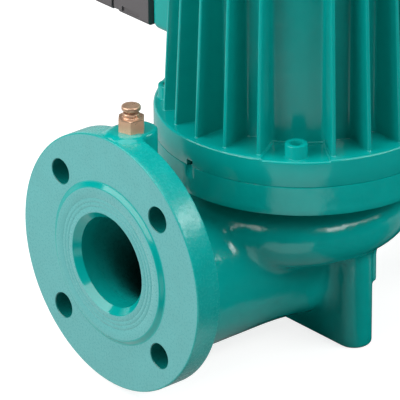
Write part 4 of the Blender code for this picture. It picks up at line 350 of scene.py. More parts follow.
class Shell:
    """A mesh gathered from patches of points, welded where patches meet."""

    def __init__(self) -> None:
        """Start with no points."""
        self.points: list[Array] = []
        self.faces: list[Array] = []
        self.kinds: list[Array] = []
        self.finishes: list[Finish] = []
        self.count = 0

    def add(self, points: Array, faces: Array, finish: Finish) -> Shell:
        """Take in points and four-cornered faces.

        Args:
            points: positions in millimetres, n by 3.
            faces: corners of each face, m by 4, counted from the first of these points.
            finish: the surface of these faces.

        Returns:
            The shell.
        """
        if finish not in self.finishes:
            self.finishes.append(finish)
        self.points.append(np.asarray(points, float).reshape(-1, 3))
        self.faces.append(np.asarray(faces, np.int64) + self.count)
        self.kinds.append(np.full(len(faces), self.finishes.index(finish), np.int32))
        self.count += len(self.points[-1])
        return self

    def patch(self, grid: Array, finish: Finish, closed: bool = False, flip: bool = False) -> Shell:
        """Take in a grid of points whose faces look along the columns crossed with the rows.

        Args:
            grid: positions, rows by columns by 3.
            finish: the surface of the patch.
            closed: whether the last column joins the first.
            flip: whether the faces look the other way.

        Returns:
            The shell.
        """
        rows, columns = grid.shape[:2]
        index = np.arange(rows * columns).reshape(rows, columns)
        right = np.roll(index, -1, axis=1)
        if not closed:
            index, right = index[:, :-1], right[:, :-1]
        faces = np.stack((index[:-1], right[:-1], right[1:], index[1:]), axis=-1).reshape(-1, 4)
        return self.add(grid, faces[:, ::-1] if flip else faces, finish)

    def build(self, name: str, sharp: float) -> bpy.types.Object:
        """Weld the points and make the mesh.

        Args:
            name: name of the piece.
            sharp: edges that bend by more degrees than this stay crisp.

        Returns:
            The finished piece, at the origin.
        """
        points = np.concatenate(self.points)
        faces = np.concatenate(self.faces)
        kinds = np.concatenate(self.kinds)
        cells = np.round(points * WELD_CELLS).astype(np.int64)
        _, first, same = np.unique(cells, axis=0, return_index=True, return_inverse=True)
        faces = same.reshape(-1)[faces]
        points = points[first] * MM
        repeat = faces == np.roll(faces, -1, axis=1)
        sizes = 4 - repeat.sum(axis=1)
        crossed = (faces[:, 0] == faces[:, 2]) | (faces[:, 1] == faces[:, 3])
        good = (sizes >= 3) & ~crossed
        loops = faces[good][~repeat[good]]
        sizes, kinds = sizes[good], kinds[good]
        starts = np.concatenate(((0,), np.cumsum(sizes)[:-1]))
        mesh = bpy.data.meshes.new(name)
        mesh.vertices.add(len(points))
        mesh.vertices.foreach_set("co", points.astype(np.float32).ravel())
        mesh.loops.add(len(loops))
        mesh.loops.foreach_set("vertex_index", loops.astype(np.int32))
        mesh.polygons.add(len(sizes))
        mesh.polygons.foreach_set("loop_start", starts.astype(np.int32))
        mesh.polygons.foreach_set("material_index", kinds)
        mesh.polygons.foreach_set("use_smooth", np.ones(len(sizes), bool))
        mesh.update(calc_edges=True)
        mesh.validate()
        mesh.set_sharp_from_angle(angle=math.radians(sharp))
        for finish in self.finishes:
            mesh.materials.append(finish.material())
        made = bpy.data.objects.new(name, mesh)
        bpy.context.scene.collection.objects.link(made)
        LOG.info("%s: %d faces", name, len(sizes))
        return made

    def seat(self, name: str, sharp: float, *nodes: str, body: str = "pump_body") -> None:
        """Build the piece, seat it on its body and let it stand for CAD nodes.

        Args:
            name: name of the piece.
            sharp: edges that bend by more degrees than this stay crisp.
            nodes: the nodes that it stands for.
            body: the body that it rides on.
        """
        piece = self.build(name, sharp)
        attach(piece, body)
        if nodes:
            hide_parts(*nodes)


def smooth_step(value: Array) -> Array:
    """Rise from 0 to 1 with level ends, held below 0 and above 1."""
    held = np.clip(value, 0.0, 1.0)
    return held * held * (3.0 - 2.0 * held)


def melt(first: Array, second: Array, radius: float) -> Array:
    """Join two distance fields with a fillet: the smaller one, less a parabola where they are close."""
    near = np.maximum(radius - np.abs(first - second), 0.0) / radius
    return np.minimum(first, second) - near * near * radius * 0.25


def meet(first: Array, second: Array, radius: float) -> Array:
    """Cut one distance field by another with a rounded edge, as melt does from the other side."""
    return -melt(-first, -second, radius)


def cut(*fields: Array) -> Array:
    """Keep what all distance fields share: the largest of them."""
    return reduce(np.maximum, fields)


def join(*fields: Array) -> Array:
    """Put distance fields together: the smallest of them."""
    return reduce(np.minimum, fields)


def oval(across: Array, wide: Array, up: Array, high: Array) -> Array:
    """Distance to an oval: the share by which a point lies outside, times its lesser half width."""
    return (np.hypot(across / wide, up / high) - 1.0) * np.minimum(high, wide)


def polar(radius: Array | float, turn: Array) -> Array:
    """Flat points at a radius and at angles in radians, the last axis being X and Y."""
    return np.stack((radius * np.cos(turn), radius * np.sin(turn)), axis=-1)


def turned(rows: Rows, angles: Array) -> Array:
    """Turn a profile about Z: a point is its radius times the angle's cosine and sine, at its height.

    Args:
        rows: (radius, height) rows, either of which may differ from angle to angle.
        angles: degrees.

    Returns:
        Points, rows by angles by 3.
    """
    turn = np.radians(angles)
    even = np.ones_like(turn)
    radius, height = (np.array([row[part] * even for row in rows]) for part in range(2))
    return np.stack((radius * np.cos(turn), radius * np.sin(turn), height), axis=-1)


def arc(across: float, up: Array | float, size: float, first: float, last: float, count: int) -> Rows:
    """Rows of a rounding: points on a circle at even angles in degrees, from the first to the last."""
    turn = np.radians(np.linspace(first, last, count))
    return [(across + size * math.cos(t), up + size * math.sin(t)) for t in turn]


def circle(count: int) -> Array:
    """Angles of a full turn in degrees, from 0 and without the closing one."""
    return np.linspace(0.0, 360.0, count, endpoint=False)


def crowded(count: int, centres: tuple[float, ...], reach: float, extra: int) -> Array:
    """Sorted degrees of a full turn, with extra ones within reach of the centres."""
    near = [np.linspace(centre - reach, centre + reach, extra) for centre in centres]
    return np.unique(np.round(np.mod(np.concatenate((circle(count), *near)), 360.0), 5))


def hexagon(corner: float, angles: Array) -> Array:
    """Radius of a hexagon with a corner at 0: the flat's distance over the cosine from the flat's middle."""
    return corner * math.cos(math.radians(30.0)) / np.cos(np.radians(np.mod(angles, 60.0) - 30.0))


def surface_net(solid: Field, low: Point, high: Point, step: float) -> tuple[Array, Array]:
    """Net of a field's zero surface: a point in each grid cell it crosses, drawn onto it along its slope.

    Args:
        solid: distance at x, y and z, below zero inside.
        low: lowest corner of the grid.
        high: highest corner of the grid.
        step: size of its cells.

    Returns:
        Points, and faces of four corners that look outward.
    """
    axes = [np.arange(a, b + step, step) for a, b in zip(low, high)]
    across, up = np.meshgrid(axes[1], axes[2], indexing="ij")
    value = np.stack([solid(np.full_like(across, x), across, up) for x in axes[0]])
    inside = value < 0.0
    corners = [tuple((n >> k) & 1 for k in range(3)) for n in range(8)]
    size = np.array(value.shape) - 1
    total = sum(inside[tuple(slice(o, o + s) for o, s in zip(c, size))].astype(np.int8) for c in corners)
    active = (total > 0) & (total < 8)
    cells = np.argwhere(active)
    number = np.full(active.shape, -1, np.int64)
    number[active] = np.arange(len(cells))
    place, hits = np.zeros((len(cells), 3)), np.zeros(len(cells))
    faces = []
    for axis in range(3):
        u, v = (axis + 1) % 3, (axis + 2) % 3
        unit = np.eye(3, dtype=np.int64)
        for shift in (0 * unit[u], unit[u], unit[v], unit[u] + unit[v]):
            start = cells + shift
            a = value[tuple(start.T)]
            b = value[tuple((start + unit[axis]).T)]
            crossed = (a < 0.0) != (b < 0.0)
            share = np.where(crossed, a / np.where(crossed, a - b, 1.0), 0.0)
            place += np.where(crossed[:, None], start + share[:, None] * unit[axis], 0.0)
            hits += crossed
        lower = np.take(inside, range(size[axis]), axis)
        upper = np.take(inside, range(1, size[axis] + 1), axis)
        edges = np.argwhere(lower != upper)
        edges = edges[np.all((edges[:, (u, v)] > 0) & (edges[:, (u, v)] < size[[u, v]]), axis=1)]
        ring = [number[tuple((edges - s).T)] for s in (unit[u] + unit[v], unit[v], 0 * unit[u], unit[u])]
        quads = np.stack(ring, axis=1)
        outward = lower[tuple(edges.T)]
        faces.append(np.where(outward[:, None], quads, quads[:, ::-1]))
    points = np.array(low) + place / hits[:, None] * step
    nudge = 0.05
    for _ in range(4):
        here = solid(*points.T)
        slope = [(solid(*(points + d).T) - solid(*(points - d).T)) / (2 * nudge) for d in np.eye(3) * nudge]
        slope = np.stack(slope, axis=1)
        move = (here / np.maximum((slope**2).sum(axis=1), 0.05))[:, None] * slope
        length = np.linalg.norm(move, axis=1, keepdims=True)
        points = points - move * np.minimum(1.0, step * 0.4 / np.maximum(length, 1e-9))
    return points, np.concatenate(faces)


@dataclass
class Casting:
    """The cast volute casing: spiral, necks, suction bend, foot web and vent boss as one filleted field.

    Attributes:
        step: grid of the outer surface.
        inner_step: grid of the waterways.
        wall: thickness of the wall round the spiral.
        bore: radius of the pipe line's bore.
        tongue: degrees where the spiral starts.
        spiral_end: degrees of turn where the spiral leaves for the neck.
        flatter: how much the spiral's upper half is pressed flat outside.
        drum: radius of the drum inside the spiral.
        ring: radius, bottom and top of the bolting ring.
        disc: radius, back and front of the flanges' discs.
        web: half length, half thickness and top of the foot's web.
        boss: both ends, radius and top of the vent's boss.
        front: where the casting ends under the suction flange's rim.
        chambers: radius, bottom and top of the round hollows about the motor's axis.
        grid: corners of the outer surface's grid.
        inner_grid: corners of the waterways' grid.
    """

    step: float = 1.9
    inner_step: float = 2.8
    wall: float = 7.0
    bore: float = 32.5
    tongue: float = 10.0
    spiral_end: float = 250.0
    flatter: float = 1.28
    drum: float = 74.0
    ring: Point = (104.6, 129.4, 150.0)
    disc: Point = (92.4, 158.4, 177.2)
    web: Point = (54.0, 12.5, 83.75)
    boss: tuple[float, float, float, float] = (-160.5, -150.0, 13.0, 193.0)
    front: float = -175.9
    chambers: tuple[Point, ...] = (
        (84.0, 142.9, math.inf), (70.0, 112.5, math.inf), (66.0, 88.5, math.inf),
        (42.3, 73.5, 90.0), (32.0, 66.0, 75.0),
    )
    grid: tuple[Point, Point] = ((-179.0, -110.0, -3.0), (161.5, 110.0, 196.0))
    inner_grid: tuple[Point, Point] = ((-166.0, -110.0, 18.0), (166.0, 110.0, 147.0))
    _neck: tuple[Array, ...] = field(default=(), repr=False)

    @staticmethod
    def section(turn: Array | float) -> tuple[Array | float, Array | float]:
        """Radius of the spiral's section and of its middle's circle, which grow with the share of a turn."""
        size = 22.0 + 10.8 * turn
        return size, 70.5 + 53.3 * turn - size

    def __post_init__(self) -> None:
        """Lay out the discharge neck: a cubic curve from the spiral's end to the flange, then straight on."""
        share = np.linspace(0.0, 1.0, 121)
        size, radius = self.section(self.spiral_end / 360.0)
        angle = math.radians(self.tongue - self.spiral_end)
        start = radius * np.array((math.cos(angle), math.sin(angle)))
        leave = 180.0 * np.array((math.sin(angle), -math.cos(angle)))
        end, arrive = np.array((163.5, 0.0)), np.array((180.0, 0.0))
        t = share[:, None]
        centre = (
            (2 * t**3 - 3 * t**2 + 1) * start + (t**3 - 2 * t**2 + t) * leave
            + (3 * t**2 - 2 * t**3) * end + (t**3 - t**2) * arrive
        )
        bore = size - self.wall + (self.bore - size + self.wall) * smooth_step(share)
        centre = np.concatenate((centre, [(195.0, 0.0)]))
        bore = np.append(bore, self.bore)
        along = np.concatenate(((0.0,), np.cumsum(np.linalg.norm(np.diff(centre, axis=0), axis=1))))
        self._neck = (along, centre[:, 0], centre[:, 1], bore)

    def spiral(self, x: Array, y: Array, z: Array, wall: float) -> Array:
        """Distance to the spiral: a round section whose centre and size grow with the angle from the tongue.

        Args:
            x, y, z: position.
            wall: wall over the waterway.

        Returns:
            Distances.
        """
        turn = np.mod(self.tongue - np.degrees(np.arctan2(y, x)), 360.0)
        held = np.where(turn > 305.0, 0.0, np.minimum(turn, self.spiral_end)) / 360.0
        size, radius = self.section(held)
        angle = np.radians(self.tongue - 360.0 * held)
        flat = np.hypot(x - radius * np.cos(angle), y - radius * np.sin(angle))
        rise = (z - PIPE_HEIGHT) * np.where((z > PIPE_HEIGHT) & (wall > 0.0), self.flatter, 1.0)
        return np.hypot(flat, rise) - (size - self.wall + wall)

    def neck(self, x: Array, y: Array, z: Array, wall: float) -> Array:
        """Distance to the discharge neck, from the nearest place on its curve.

        Args:
            x, y, z: position.
            wall: wall over the waterway.

        Returns:
            Distances.
        """
        along, *curve = self._neck
        cx, cy, bore = (partial(np.interp, xp=along, fp=part) for part in curve)
        at = np.interp(x, curve[0], along)
        for _ in range(2):
            ahead, behind = np.minimum(at + 0.5, along[-1]), np.maximum(at - 0.5, 0.0)
            tx, ty = cx(ahead) - cx(behind), cy(ahead) - cy(behind)
            off = (x - cx(at)) * tx + (y - cy(at)) * ty
            at = np.clip(at + off / np.hypot(tx, ty), 0.0, along[-1])
        return np.hypot(np.hypot(x - cx(at), y - cy(at)), z - PIPE_HEIGHT) - (bore(at) + wall)

    @staticmethod
    def bend(x: Array, y: Array, z: Array, wall: float) -> Array:
        """Distance to the suction bend: oval sections fanned about its inner corner until they face up.

        Args:
            x, y, z: position.
            wall: wall over the waterway.

        Returns:
            Distances.
        """
        along, down = x + 34.0, 69.0 - z
        angle = np.clip(np.arctan2(along, down), 0.0, math.pi / 2)
        share = angle / (math.pi / 2)
        high = 22.0 + 10.0 * share
        reach = 2.0 + high + wall / 2
        wide = 38.0 - 6.0 * share + wall * 0.85
        high = high + wall / 2
        out = along * np.sin(angle) + down * np.cos(angle)
        fade = 7.0 * smooth_step((-15.0 - x) / 55.0) if wall else 0.0
        return cut(oval(out - reach, high, y, wide) + fade, (-80.0 if wall else -50.0) - x, z - 82.0)

    def outside(self, x: Array, y: Array, z: Array) -> Array:
        """Distance to the whole casting, without its hollows.

        Args:
            x, y, z: position.

        Returns:
            Distances.
        """
        rho = np.hypot(x, y)
        drum = cut(rho - self.drum, ((rho - 76.0) * 18.4 - (z - 92.5) * 21.0) / 27.92)
        drum = cut(drum, (rho - 55.0 - z + 74.1) * 0.7071, 67.1 - z, z - 135.0)
        volute = melt(self.spiral(x, y, z, self.wall), self.neck(x, y, z, self.wall), 3.0)
        body = melt(drum, volute, 8.0)
        radius, low, high = self.ring
        body = melt(body, cut(rho - radius, low - z, z - high), 6.0)
        drop = smooth_step((x + 169.0) / 52.0)
        high, middle = 50.0 - 1.0 * drop, 86.0 - 22.0 * drop
        wide = 45.0 + 0.5 * smooth_step((x + 130.5) / 130.5)
        pipe = melt(cut(oval(y, wide, z - middle, high), x), self.bend(x, y, z, self.wall), 6.0)
        body = melt(body, pipe, 9.0)
        length, half, top = self.web
        web = np.hypot(x, np.maximum(np.abs(y) - length, 0.0)) - half
        web = meet(cut(web, z - top), -z, 3.0)
        pad = np.stack((np.abs(x - 8.0) - 6.0, np.abs(y + 48.25) - 10.0, np.abs(z - 62.25) - 15.5))
        pad = np.linalg.norm(np.maximum(pad, 0.0), axis=0) + np.minimum(pad.max(axis=0), 0.0) - 2.0
        body = melt(body, melt(web, pad, 3.0), 9.0)
        radius, back, face = self.disc
        radial = np.hypot(y, z - PIPE_HEIGHT)
        body = melt(body, cut(radial - radius, back - np.abs(x), np.abs(x) - face), 8.0)
        start, end, radius, top = self.boss
        boss = np.hypot(x - np.clip(x, start, end), y) - radius
        boss = meet(cut(boss, PIPE_HEIGHT - z), z - top, 2.0)
        return cut(melt(body, boss, 5.0), self.front - x)

    def hollow(self, x: Array, y: Array, z: Array) -> Array:
        """Distance to the waterways and the impeller's chamber.

        Args:
            x, y, z: position.

        Returns:
            Distances, below zero in the water.
        """
        rho = np.hypot(x, y)
        cone = cut((rho - 42.3) - (z - 82.0) * 3.65, 82.0 - z) * 0.3
        rooms = [cut(rho - radius, low - z, z - high) for radius, low, high in self.chambers]
        rooms += [cut(cone, z - 89.0), self.spiral(x, y, z, 0.0), self.neck(x, y, z, 0.0)]
        drop, flat = smooth_step((x + 160.0) / 65.0), smooth_step((x + 110.0) / 65.0)
        high, wide = self.bore - 10.5 * flat, self.bore + 5.5 * flat
        middle = 67.5 - 44.5 * drop + high
        pipe = cut(oval(y, wide, z - middle, high), x + 34.0)
        return join(*rooms, pipe, self.bend(x, y, z, 0.0))

    def build(self) -> None:
        """Net the outer surface and the hollows, without what lies inside the flanges and the ring."""
        points, faces = surface_net(self.outside, *self.grid, self.step)
        x, y, z = points[faces].mean(axis=1).T
        rho, radial = np.hypot(x, y), np.hypot(y, z - PIPE_HEIGHT)
        boss = (x < 0.0) & (z > 180.0) & (np.abs(y) < 24.0) & (radial > 91.0)
        buried = (np.abs(x) > 159.0) & ~boss
        buried |= (z > 130.2) & (rho < 104.7)
        made = Shell().add(points, faces[~buried], CAST_PAINT)
        made.seat("casing_casting", 180.0, "volute_casing")
        points, faces = surface_net(self.hollow, *self.inner_grid, self.inner_step)
        made = Shell().add(points, faces[:, ::-1], BORE_PAINT)
        made.seat("casing_waterways", 180.0)


@dataclass
class PipeFlange:
    """A round pipe flange with a raised face, a chamfered bore and four bolt holes.

    Attributes:
        side: which end of the pipe line.
    """

    side: Side
    steps: int = 192
    face: float = 180.0
    bore: float = 32.5
    mouth: float = 37.0
    raised: float = 54.0
    foot: float = 59.0
    rise: float = 2.5
    rim: float = 92.5
    edge: float = 1.0
    back: float = 22.0
    bolt_circle: float = 72.5
    hole: float = 9.0

    def place(self, depth: Array, across: Array, up: Array) -> Array:
        """Put a point of the flange into the row's frame.

        Args:
            depth: distance behind the raised face.
            across: sideways from the bore's axis.
            up: height over the bore's axis.

        Returns:
            Points.
        """
        sign = self.side.value
        depth, across, up = np.broadcast_arrays(depth, across, up)
        return np.stack((sign * (self.face - depth), -sign * across, PIPE_HEIGHT + up), axis=-1)

    def swept(self, profile: Array, angles: Array) -> Array:
        """Turn a (depth, radius) profile about the bore's axis.

        Args:
            profile: rows of depth and radius.
            angles: degrees.

        Returns:
            Points, rows by angles by 3.
        """
        profile = np.asarray(profile, float)
        turn = np.radians(angles)[None]
        radius = profile[:, 1][:, None]
        return self.place(profile[:, 0][:, None], radius * np.cos(turn), radius * np.sin(turn))

    def bolt_sector(self, angle: float) -> Array:
        """Loops round one bolt hole, from the sector's border at the back through the hole to the front.

        Args:
            angle: degrees of the hole.

        Returns:
            Points, loops by places by 3.
        """
        fan = np.radians(np.linspace(-22.5, 22.5, self.steps // 8 + 1))
        outer, inner = self.rim - self.edge, self.foot
        ray = np.linspace(outer, inner, 12)[1:-1]
        radius = np.concatenate((np.full(len(fan), outer), ray, np.full(len(fan), inner), ray[::-1]))
        turn = np.concatenate((fan, np.full(len(ray), fan[-1]), fan[::-1], np.full(len(ray), fan[0])))
        border = polar(radius, turn)
        spoke = border - (self.bolt_circle, 0.0)
        spoke /= np.linalg.norm(spoke, axis=1, keepdims=True)
        inset = polar(np.clip(radius, inner + 0.4, outer - 0.4), turn * 0.985)
        loops, depths = [border, inset], [self.back, self.back]
        low, high = self.back, self.rise
        for depth, extra in ((low, 0.5), (low - 0.5, 0.0), (high + 0.5, 0.0), (high, 0.5)):
            loops.append((self.bolt_circle, 0.0) + spoke * (self.hole + extra))
            depths.append(depth)
        loops += [inset, border]
        depths += [self.rise, self.rise]
        flat = np.array(loops)
        c, s = math.cos(math.radians(angle)), math.sin(math.radians(angle))
        across, up = flat[..., 0] * c - flat[..., 1] * s, flat[..., 0] * s + flat[..., 1] * c
        return self.place(np.array(depths)[:, None], across, up)

    def build(self) -> None:
        """Join the turned faces, the sectors with bolt holes and the plain sectors between them."""
        shell, whole = Shell(), circle(self.steps)
        bore = [(19.0, self.bore), (5.2, self.bore), (4.5, self.bore + 0.1)]
        mouth = [(4.5, self.bore + 0.1), (4.1, self.bore + 0.5), (0.7, self.mouth - 0.7)]
        mouth += [(0.3, self.mouth - 0.3), (0.0, self.mouth + 0.1)]
        face = [(0.0, self.mouth + 0.1), (0.0, self.mouth + 0.6)]
        for groove in (41.0, 44.0, 47.2):
            face += [(0.0, groove - 0.5), (0.25, groove), (0.0, groove + 0.5)]
        edge = ((0.0, 0.6), (0.1, 1.2), (0.45, 1.8), (self.rise - 0.4, 3.6), (self.rise - 0.1, 4.2))
        slope = [*((depth, self.raised + out) for depth, out in edge), (self.rise, self.foot)]
        face += [(0.0, self.raised), slope[0]]
        top, low = self.rim - self.edge, self.rise + self.edge
        rim = arc(low, top, self.edge, 180.0, 90.0, 5)
        rim += [(depth, self.rim) for depth in np.linspace(low, self.back - self.edge, 6)[1:-1]]
        rim += arc(self.back - self.edge, top, self.edge, 90.0, 0.0, 5)
        back = [(self.back, self.foot), (self.back, 36.0)]
        front = ((bore, CAST_PAINT), (mouth, EDGE_PAINT), (face, FACE_PAINT_AND_SHEEN), (slope, EDGE_PAINT))
        for profile, finish in (*front, (rim, RIM_PAINT), (back, CAST_PAINT)):
            shell.patch(self.swept(profile, whole), finish, closed=True)
        for angle in QUARTERS:
            grid = self.bolt_sector(angle)
            grid = np.concatenate((grid, grid[:, :1]), axis=1)
            shell.patch(grid[:3], CAST_PAINT)
            # The bolt holes' walls carry painted shade.
            shell.patch(grid[2:6], SHADED_HOLE_PAINT)
            shell.patch(grid[5:], FACE_PAINT_AND_SHEEN)
            plain = angle + np.linspace(22.5, 67.5, self.steps // 8 + 1)
            rings = (self.foot, self.foot + 0.4, top - 0.4, top)
            shell.patch(self.swept([(self.rise, radius) for radius in rings], plain), FACE_PAINT_AND_SHEEN)
            shell.patch(self.swept([(self.back, radius) for radius in rings[::-1]], plain), CAST_PAINT)
        shell.seat(f"{self.side.name.lower()}_flange", 35.0)


@dataclass
class CasingRing:
    """The bolting ring round the top of the casing, with four short leak grooves in its upper edge."""

    radius: float = 105.0
    low: float = 129.0
    high: float = 150.5
    groove_circle: float = 106.5
    groove: float = 4.5
    groove_low: float = 141.5

    def build(self) -> None:
        """Turn the ring, its side drawn in to each groove's round bottom, which runs out to nothing below."""
        angles = crowded(240, SQUARE, 3.2, 41)
        profile = [(78.0, self.low), (self.radius - 1.2, self.low)]
        profile += [(self.radius - 0.4, self.low + 0.35), (self.radius, self.low + 1.2)]
        profile += [(self.radius, z) for z in np.linspace(134.0, self.high - 0.3, 30)]
        profile += [(self.radius - 0.15, self.high), (self.radius - 0.6, self.high), (86.0, self.high)]
        radius, height = np.array(profile).T[..., None]
        off = np.mod(angles + 45.0, 90.0) - 45.0
        aside = self.groove_circle * np.sin(np.radians(off))
        depth = self.radius - self.groove_circle + np.sqrt(np.maximum(self.groove**2 - aside**2, 0.0))
        depth = np.where(np.abs(aside) < self.groove, np.maximum(depth, 0.0), 0.0)
        sink = depth * np.clip((height - self.groove_low) / (self.high - self.groove_low), 0.0, 1.0)
        radius = np.where(radius < 90.0, radius, radius - sink)
        made = Shell().patch(turned(list(zip(radius, height)), angles), CAST_PAINT, closed=True)
        made.seat("casing_ring", 40.0)


@dataclass
class MotorHousing:
    """The motor's finned housing on its bolting flange, with the box's pad and the end shield's bosses."""

    radius: float = 105.0
    low: float = 150.8
    high: float = 170.3
    body: float = 74.0
    top: float = 345.3
    tip_low: float = 99.5
    tip_high: float = 90.3
    fin_half: float = 1.5
    root: float = 3.0
    tip_round: float = 1.1
    base_round: float = 0.8
    leak_half: float = 1.64
    leak_high: float = 155.0
    pocket_half: float = 13.0
    boss_circle: float = 77.5
    pad: tuple[Point, Point] = ((-53.0, 62.0, 206.1), (53.0, 101.8, 305.1))
    pad_round: float = 6.0

    def flange(self, shell: Shell) -> None:
        """Turn the flange, lowered in the screws' pockets and raised over the leak slots.

        Args:
            shell: the shell to add to.
        """
        slot = [edge + s * (self.leak_half + d) for edge in SQUARE for s in (-1, 1) for d in (-0.03, 0.03)]
        step = (-0.25, -0.08, 0.08, 0.25)
        pocket = [q + s * (self.pocket_half + d) for q in QUARTERS for s in (-1, 1) for d in step]
        angles = np.unique(np.round(np.mod(np.concatenate((circle(288), slot, pocket)), 360.0), 5))
        sunk = smooth_step((self.pocket_half + 0.25 - np.abs(np.mod(angles, 90.0) - 45.0)) / 0.5)
        open_slot = np.abs(np.mod(angles + 45.0, 90.0) - 45.0) < self.leak_half
        low = np.where(open_slot, self.leak_high, self.low)
        high = self.high - sunk
        r = self.radius
        rows = [(78.0, low), (r - 0.6, low), (r - 0.15, low), (r, low + 0.3), (r, 160.0)]
        rows += arc(r - 1.6, high - 1.6, 1.6, 0.0, 90.0, 7)
        rows += [(r - 2.1, high), (76.0, high), (75.6, self.high), (70.0, self.high)]
        shell.patch(turned(rows, angles), HOUSING_PAINT, closed=True)

    def outline(self, tip: float, grow: float) -> Array:
        """Plan of the body and its twenty fins: straight flanks, rounded tips and filleted roots.

        Args:
            tip: radius of the fins' tips.
            grow: how far the outline is pushed out, for the fillet at its foot.

        Returns:
            Points round the outline, n by 2.
        """
        half, root, round_ = self.fin_half + grow, self.root - grow * 0.6, self.tip_round + grow
        body, tip = self.body + grow, tip + grow
        middle = math.sqrt((body + root) ** 2 - (half + root) ** 2)
        first = math.atan2(half + root, middle)
        bend = np.linspace(0.0, 1.0, 6)
        turn = (math.pi - first) + bend * (first - math.pi / 2)
        rise = polar(root, turn) + (middle, -(half + root))
        nose = polar(round_, np.linspace(-math.pi / 2, 0.0, 5)) + (tip - round_, round_ - half)
        side = np.concatenate((rise, [((middle + tip) / 2, -half)], nose))
        fin = np.concatenate((side, side[::-1] * (1.0, -1.0)))
        loop = []
        for step in range(24):
            angle = math.radians(15.0 * step)
            if step % 6 == 3:
                bare = angle + np.radians(np.linspace(-10.0, 10.0, 13))
                loop.append(polar(body, bare))
                continue
            c, s = math.cos(angle), math.sin(angle)
            loop.append(fin @ np.array(((c, s), (-s, c))))
        return np.concatenate(loop)

    def fins(self, shell: Shell) -> None:
        """Sweep the plan up the motor, tapering the tips, with a fillet at the flange.

        Args:
            shell: the shell to add to.
        """
        levels = [(self.high - 1.2, self.base_round)]
        for turn in np.linspace(0.0, math.pi / 2, 7):
            rise, grow = 1 - math.cos(turn), 1 - math.sin(turn)
            levels.append((self.high + self.base_round * rise, self.base_round * grow))
        levels += [(z, 0.0) for z in np.linspace(self.high + self.base_round, self.top, 10)[1:]]
        rows = []
        for z, grow in levels:
            share = (z - self.high) / (self.top - self.high)
            plan = self.outline(self.tip_low + (self.tip_high - self.tip_low) * share, max(grow, 0.0))
            rows.append(np.column_stack((plan, np.full(len(plan), z))))
        inner = rows[-1].copy()
        inner[:, :2] *= (70.0 / np.hypot(inner[:, 0], inner[:, 1]))[:, None]
        shell.patch(np.array([*rows, inner]), HOUSING_PAINT, closed=True)

    def bosses(self, shell: Shell) -> None:
        """Stand the four bosses for the end shield's screws against the body.

        Args:
            shell: the shell to add to.
        """
        angles = circle(40)
        profile = [(0.1, 317.0), (5.0, 318.0), (7.0, 321.0), (7.0, 345.0), (6.7, 345.3), (3.0, 345.3)]
        for place in polar(self.boss_circle, np.radians(QUARTERS)):
            shell.patch(turned(profile, angles) + (*place, 0.0), HOUSING_PAINT, closed=True)

    def build(self) -> None:
        """Join the flange, the fins, the bosses and the pad."""
        shell = Shell()
        self.flange(shell)
        self.fins(shell)
        self.bosses(shell)
        shell.add(*rounded_box(*self.pad, self.pad_round, 8), HOUSING_PAINT)
        shell.seat("housing_shell", 40.0, "motor_housing")


def rounded_box(low: Point, high: Point, radius: float, steps: int) -> tuple[Array, Array]:
    """A box with rounded edges: a cube's six grids drawn onto a smaller box and pushed out along their ways.

    Args:
        low: lowest corner.
        high: highest corner.
        radius: rounding of its edges.
        steps: cells along each rounding.

    Returns:
        Points, and faces of four corners.
    """
    low, high = np.array(low), np.array(high)
    bend = np.tan(np.linspace(0.0, math.pi / 4, steps + 1))
    line = np.concatenate((-1.0 - bend[::-1], 1.0 + bend))
    points, faces, count = [], [], 0
    for axis in range(3):
        for sign in (-1.0, 1.0):
            a, b = np.meshgrid(line, line, indexing="ij")
            cube = np.empty((*a.shape, 3))
            cube[..., axis] = 2.0 * sign
            cube[..., (axis + 1) % 3] = a
            cube[..., (axis + 2) % 3] = b
            core = np.clip(cube, -1.0, 1.0)
            out = cube - core
            out /= np.linalg.norm(out, axis=-1, keepdims=True)
            place = low + radius + (core + 1.0) / 2.0 * (high - low - 2 * radius) + out * radius
            index = np.arange(a.size).reshape(a.shape) + count
            quad = np.stack((index[:-1, :-1], index[1:, :-1], index[1:, 1:], index[:-1, 1:]), axis=-1)
            faces.append(quad.reshape(-1, 4)[:, :: int(sign)])
            points.append(place.reshape(-1, 3))
            count += a.size
    return np.concatenate(points), np.concatenate(faces)


@dataclass
class SocketScrew:
    """A socket-head screw that stands upright, painted over with the pump.

    Attributes:
        number: counted from one.
        angle: degrees round the motor.
    """

    number: int
    angle: float
    circle: float = 94.0
    head: float = 7.9
    low: float = 169.3
    high: float = 179.3
    socket: float = 4.6
    depth: float = 5.0

    def build(self) -> None:
        """Turn the head and sink a hexagon into it, whose corners the paint has rounded."""
        angles = circle(96)
        six = np.minimum(hexagon(self.socket, angles), self.socket * 0.95)
        rows = [(self.head + 0.9, self.low), (self.head + 0.3, self.low + 0.3)]
        rows += [(self.head, self.low + 1.0), (self.head, self.high - 1.0)]
        rows += [(self.head - 0.3, self.high - 0.3), (self.head - 1.0, self.high)]
        rows += [(six + 0.6, self.high), (six + 0.15, self.high - 0.2), (six, self.high - 0.7)]
        floor = self.high - self.depth
        rows += [(six, floor + 0.8), (six - 0.8, floor), (0.02, floor)]
        place = (*polar(self.circle, np.radians(self.angle)), 0.0)
        shell = Shell()
        shell.patch(turned(rows, angles) + place, HOUSING_PAINT, closed=True)
        name = f"casing_screw_{self.number}"
        shell.seat(f"{name}_head", 40.0, name)


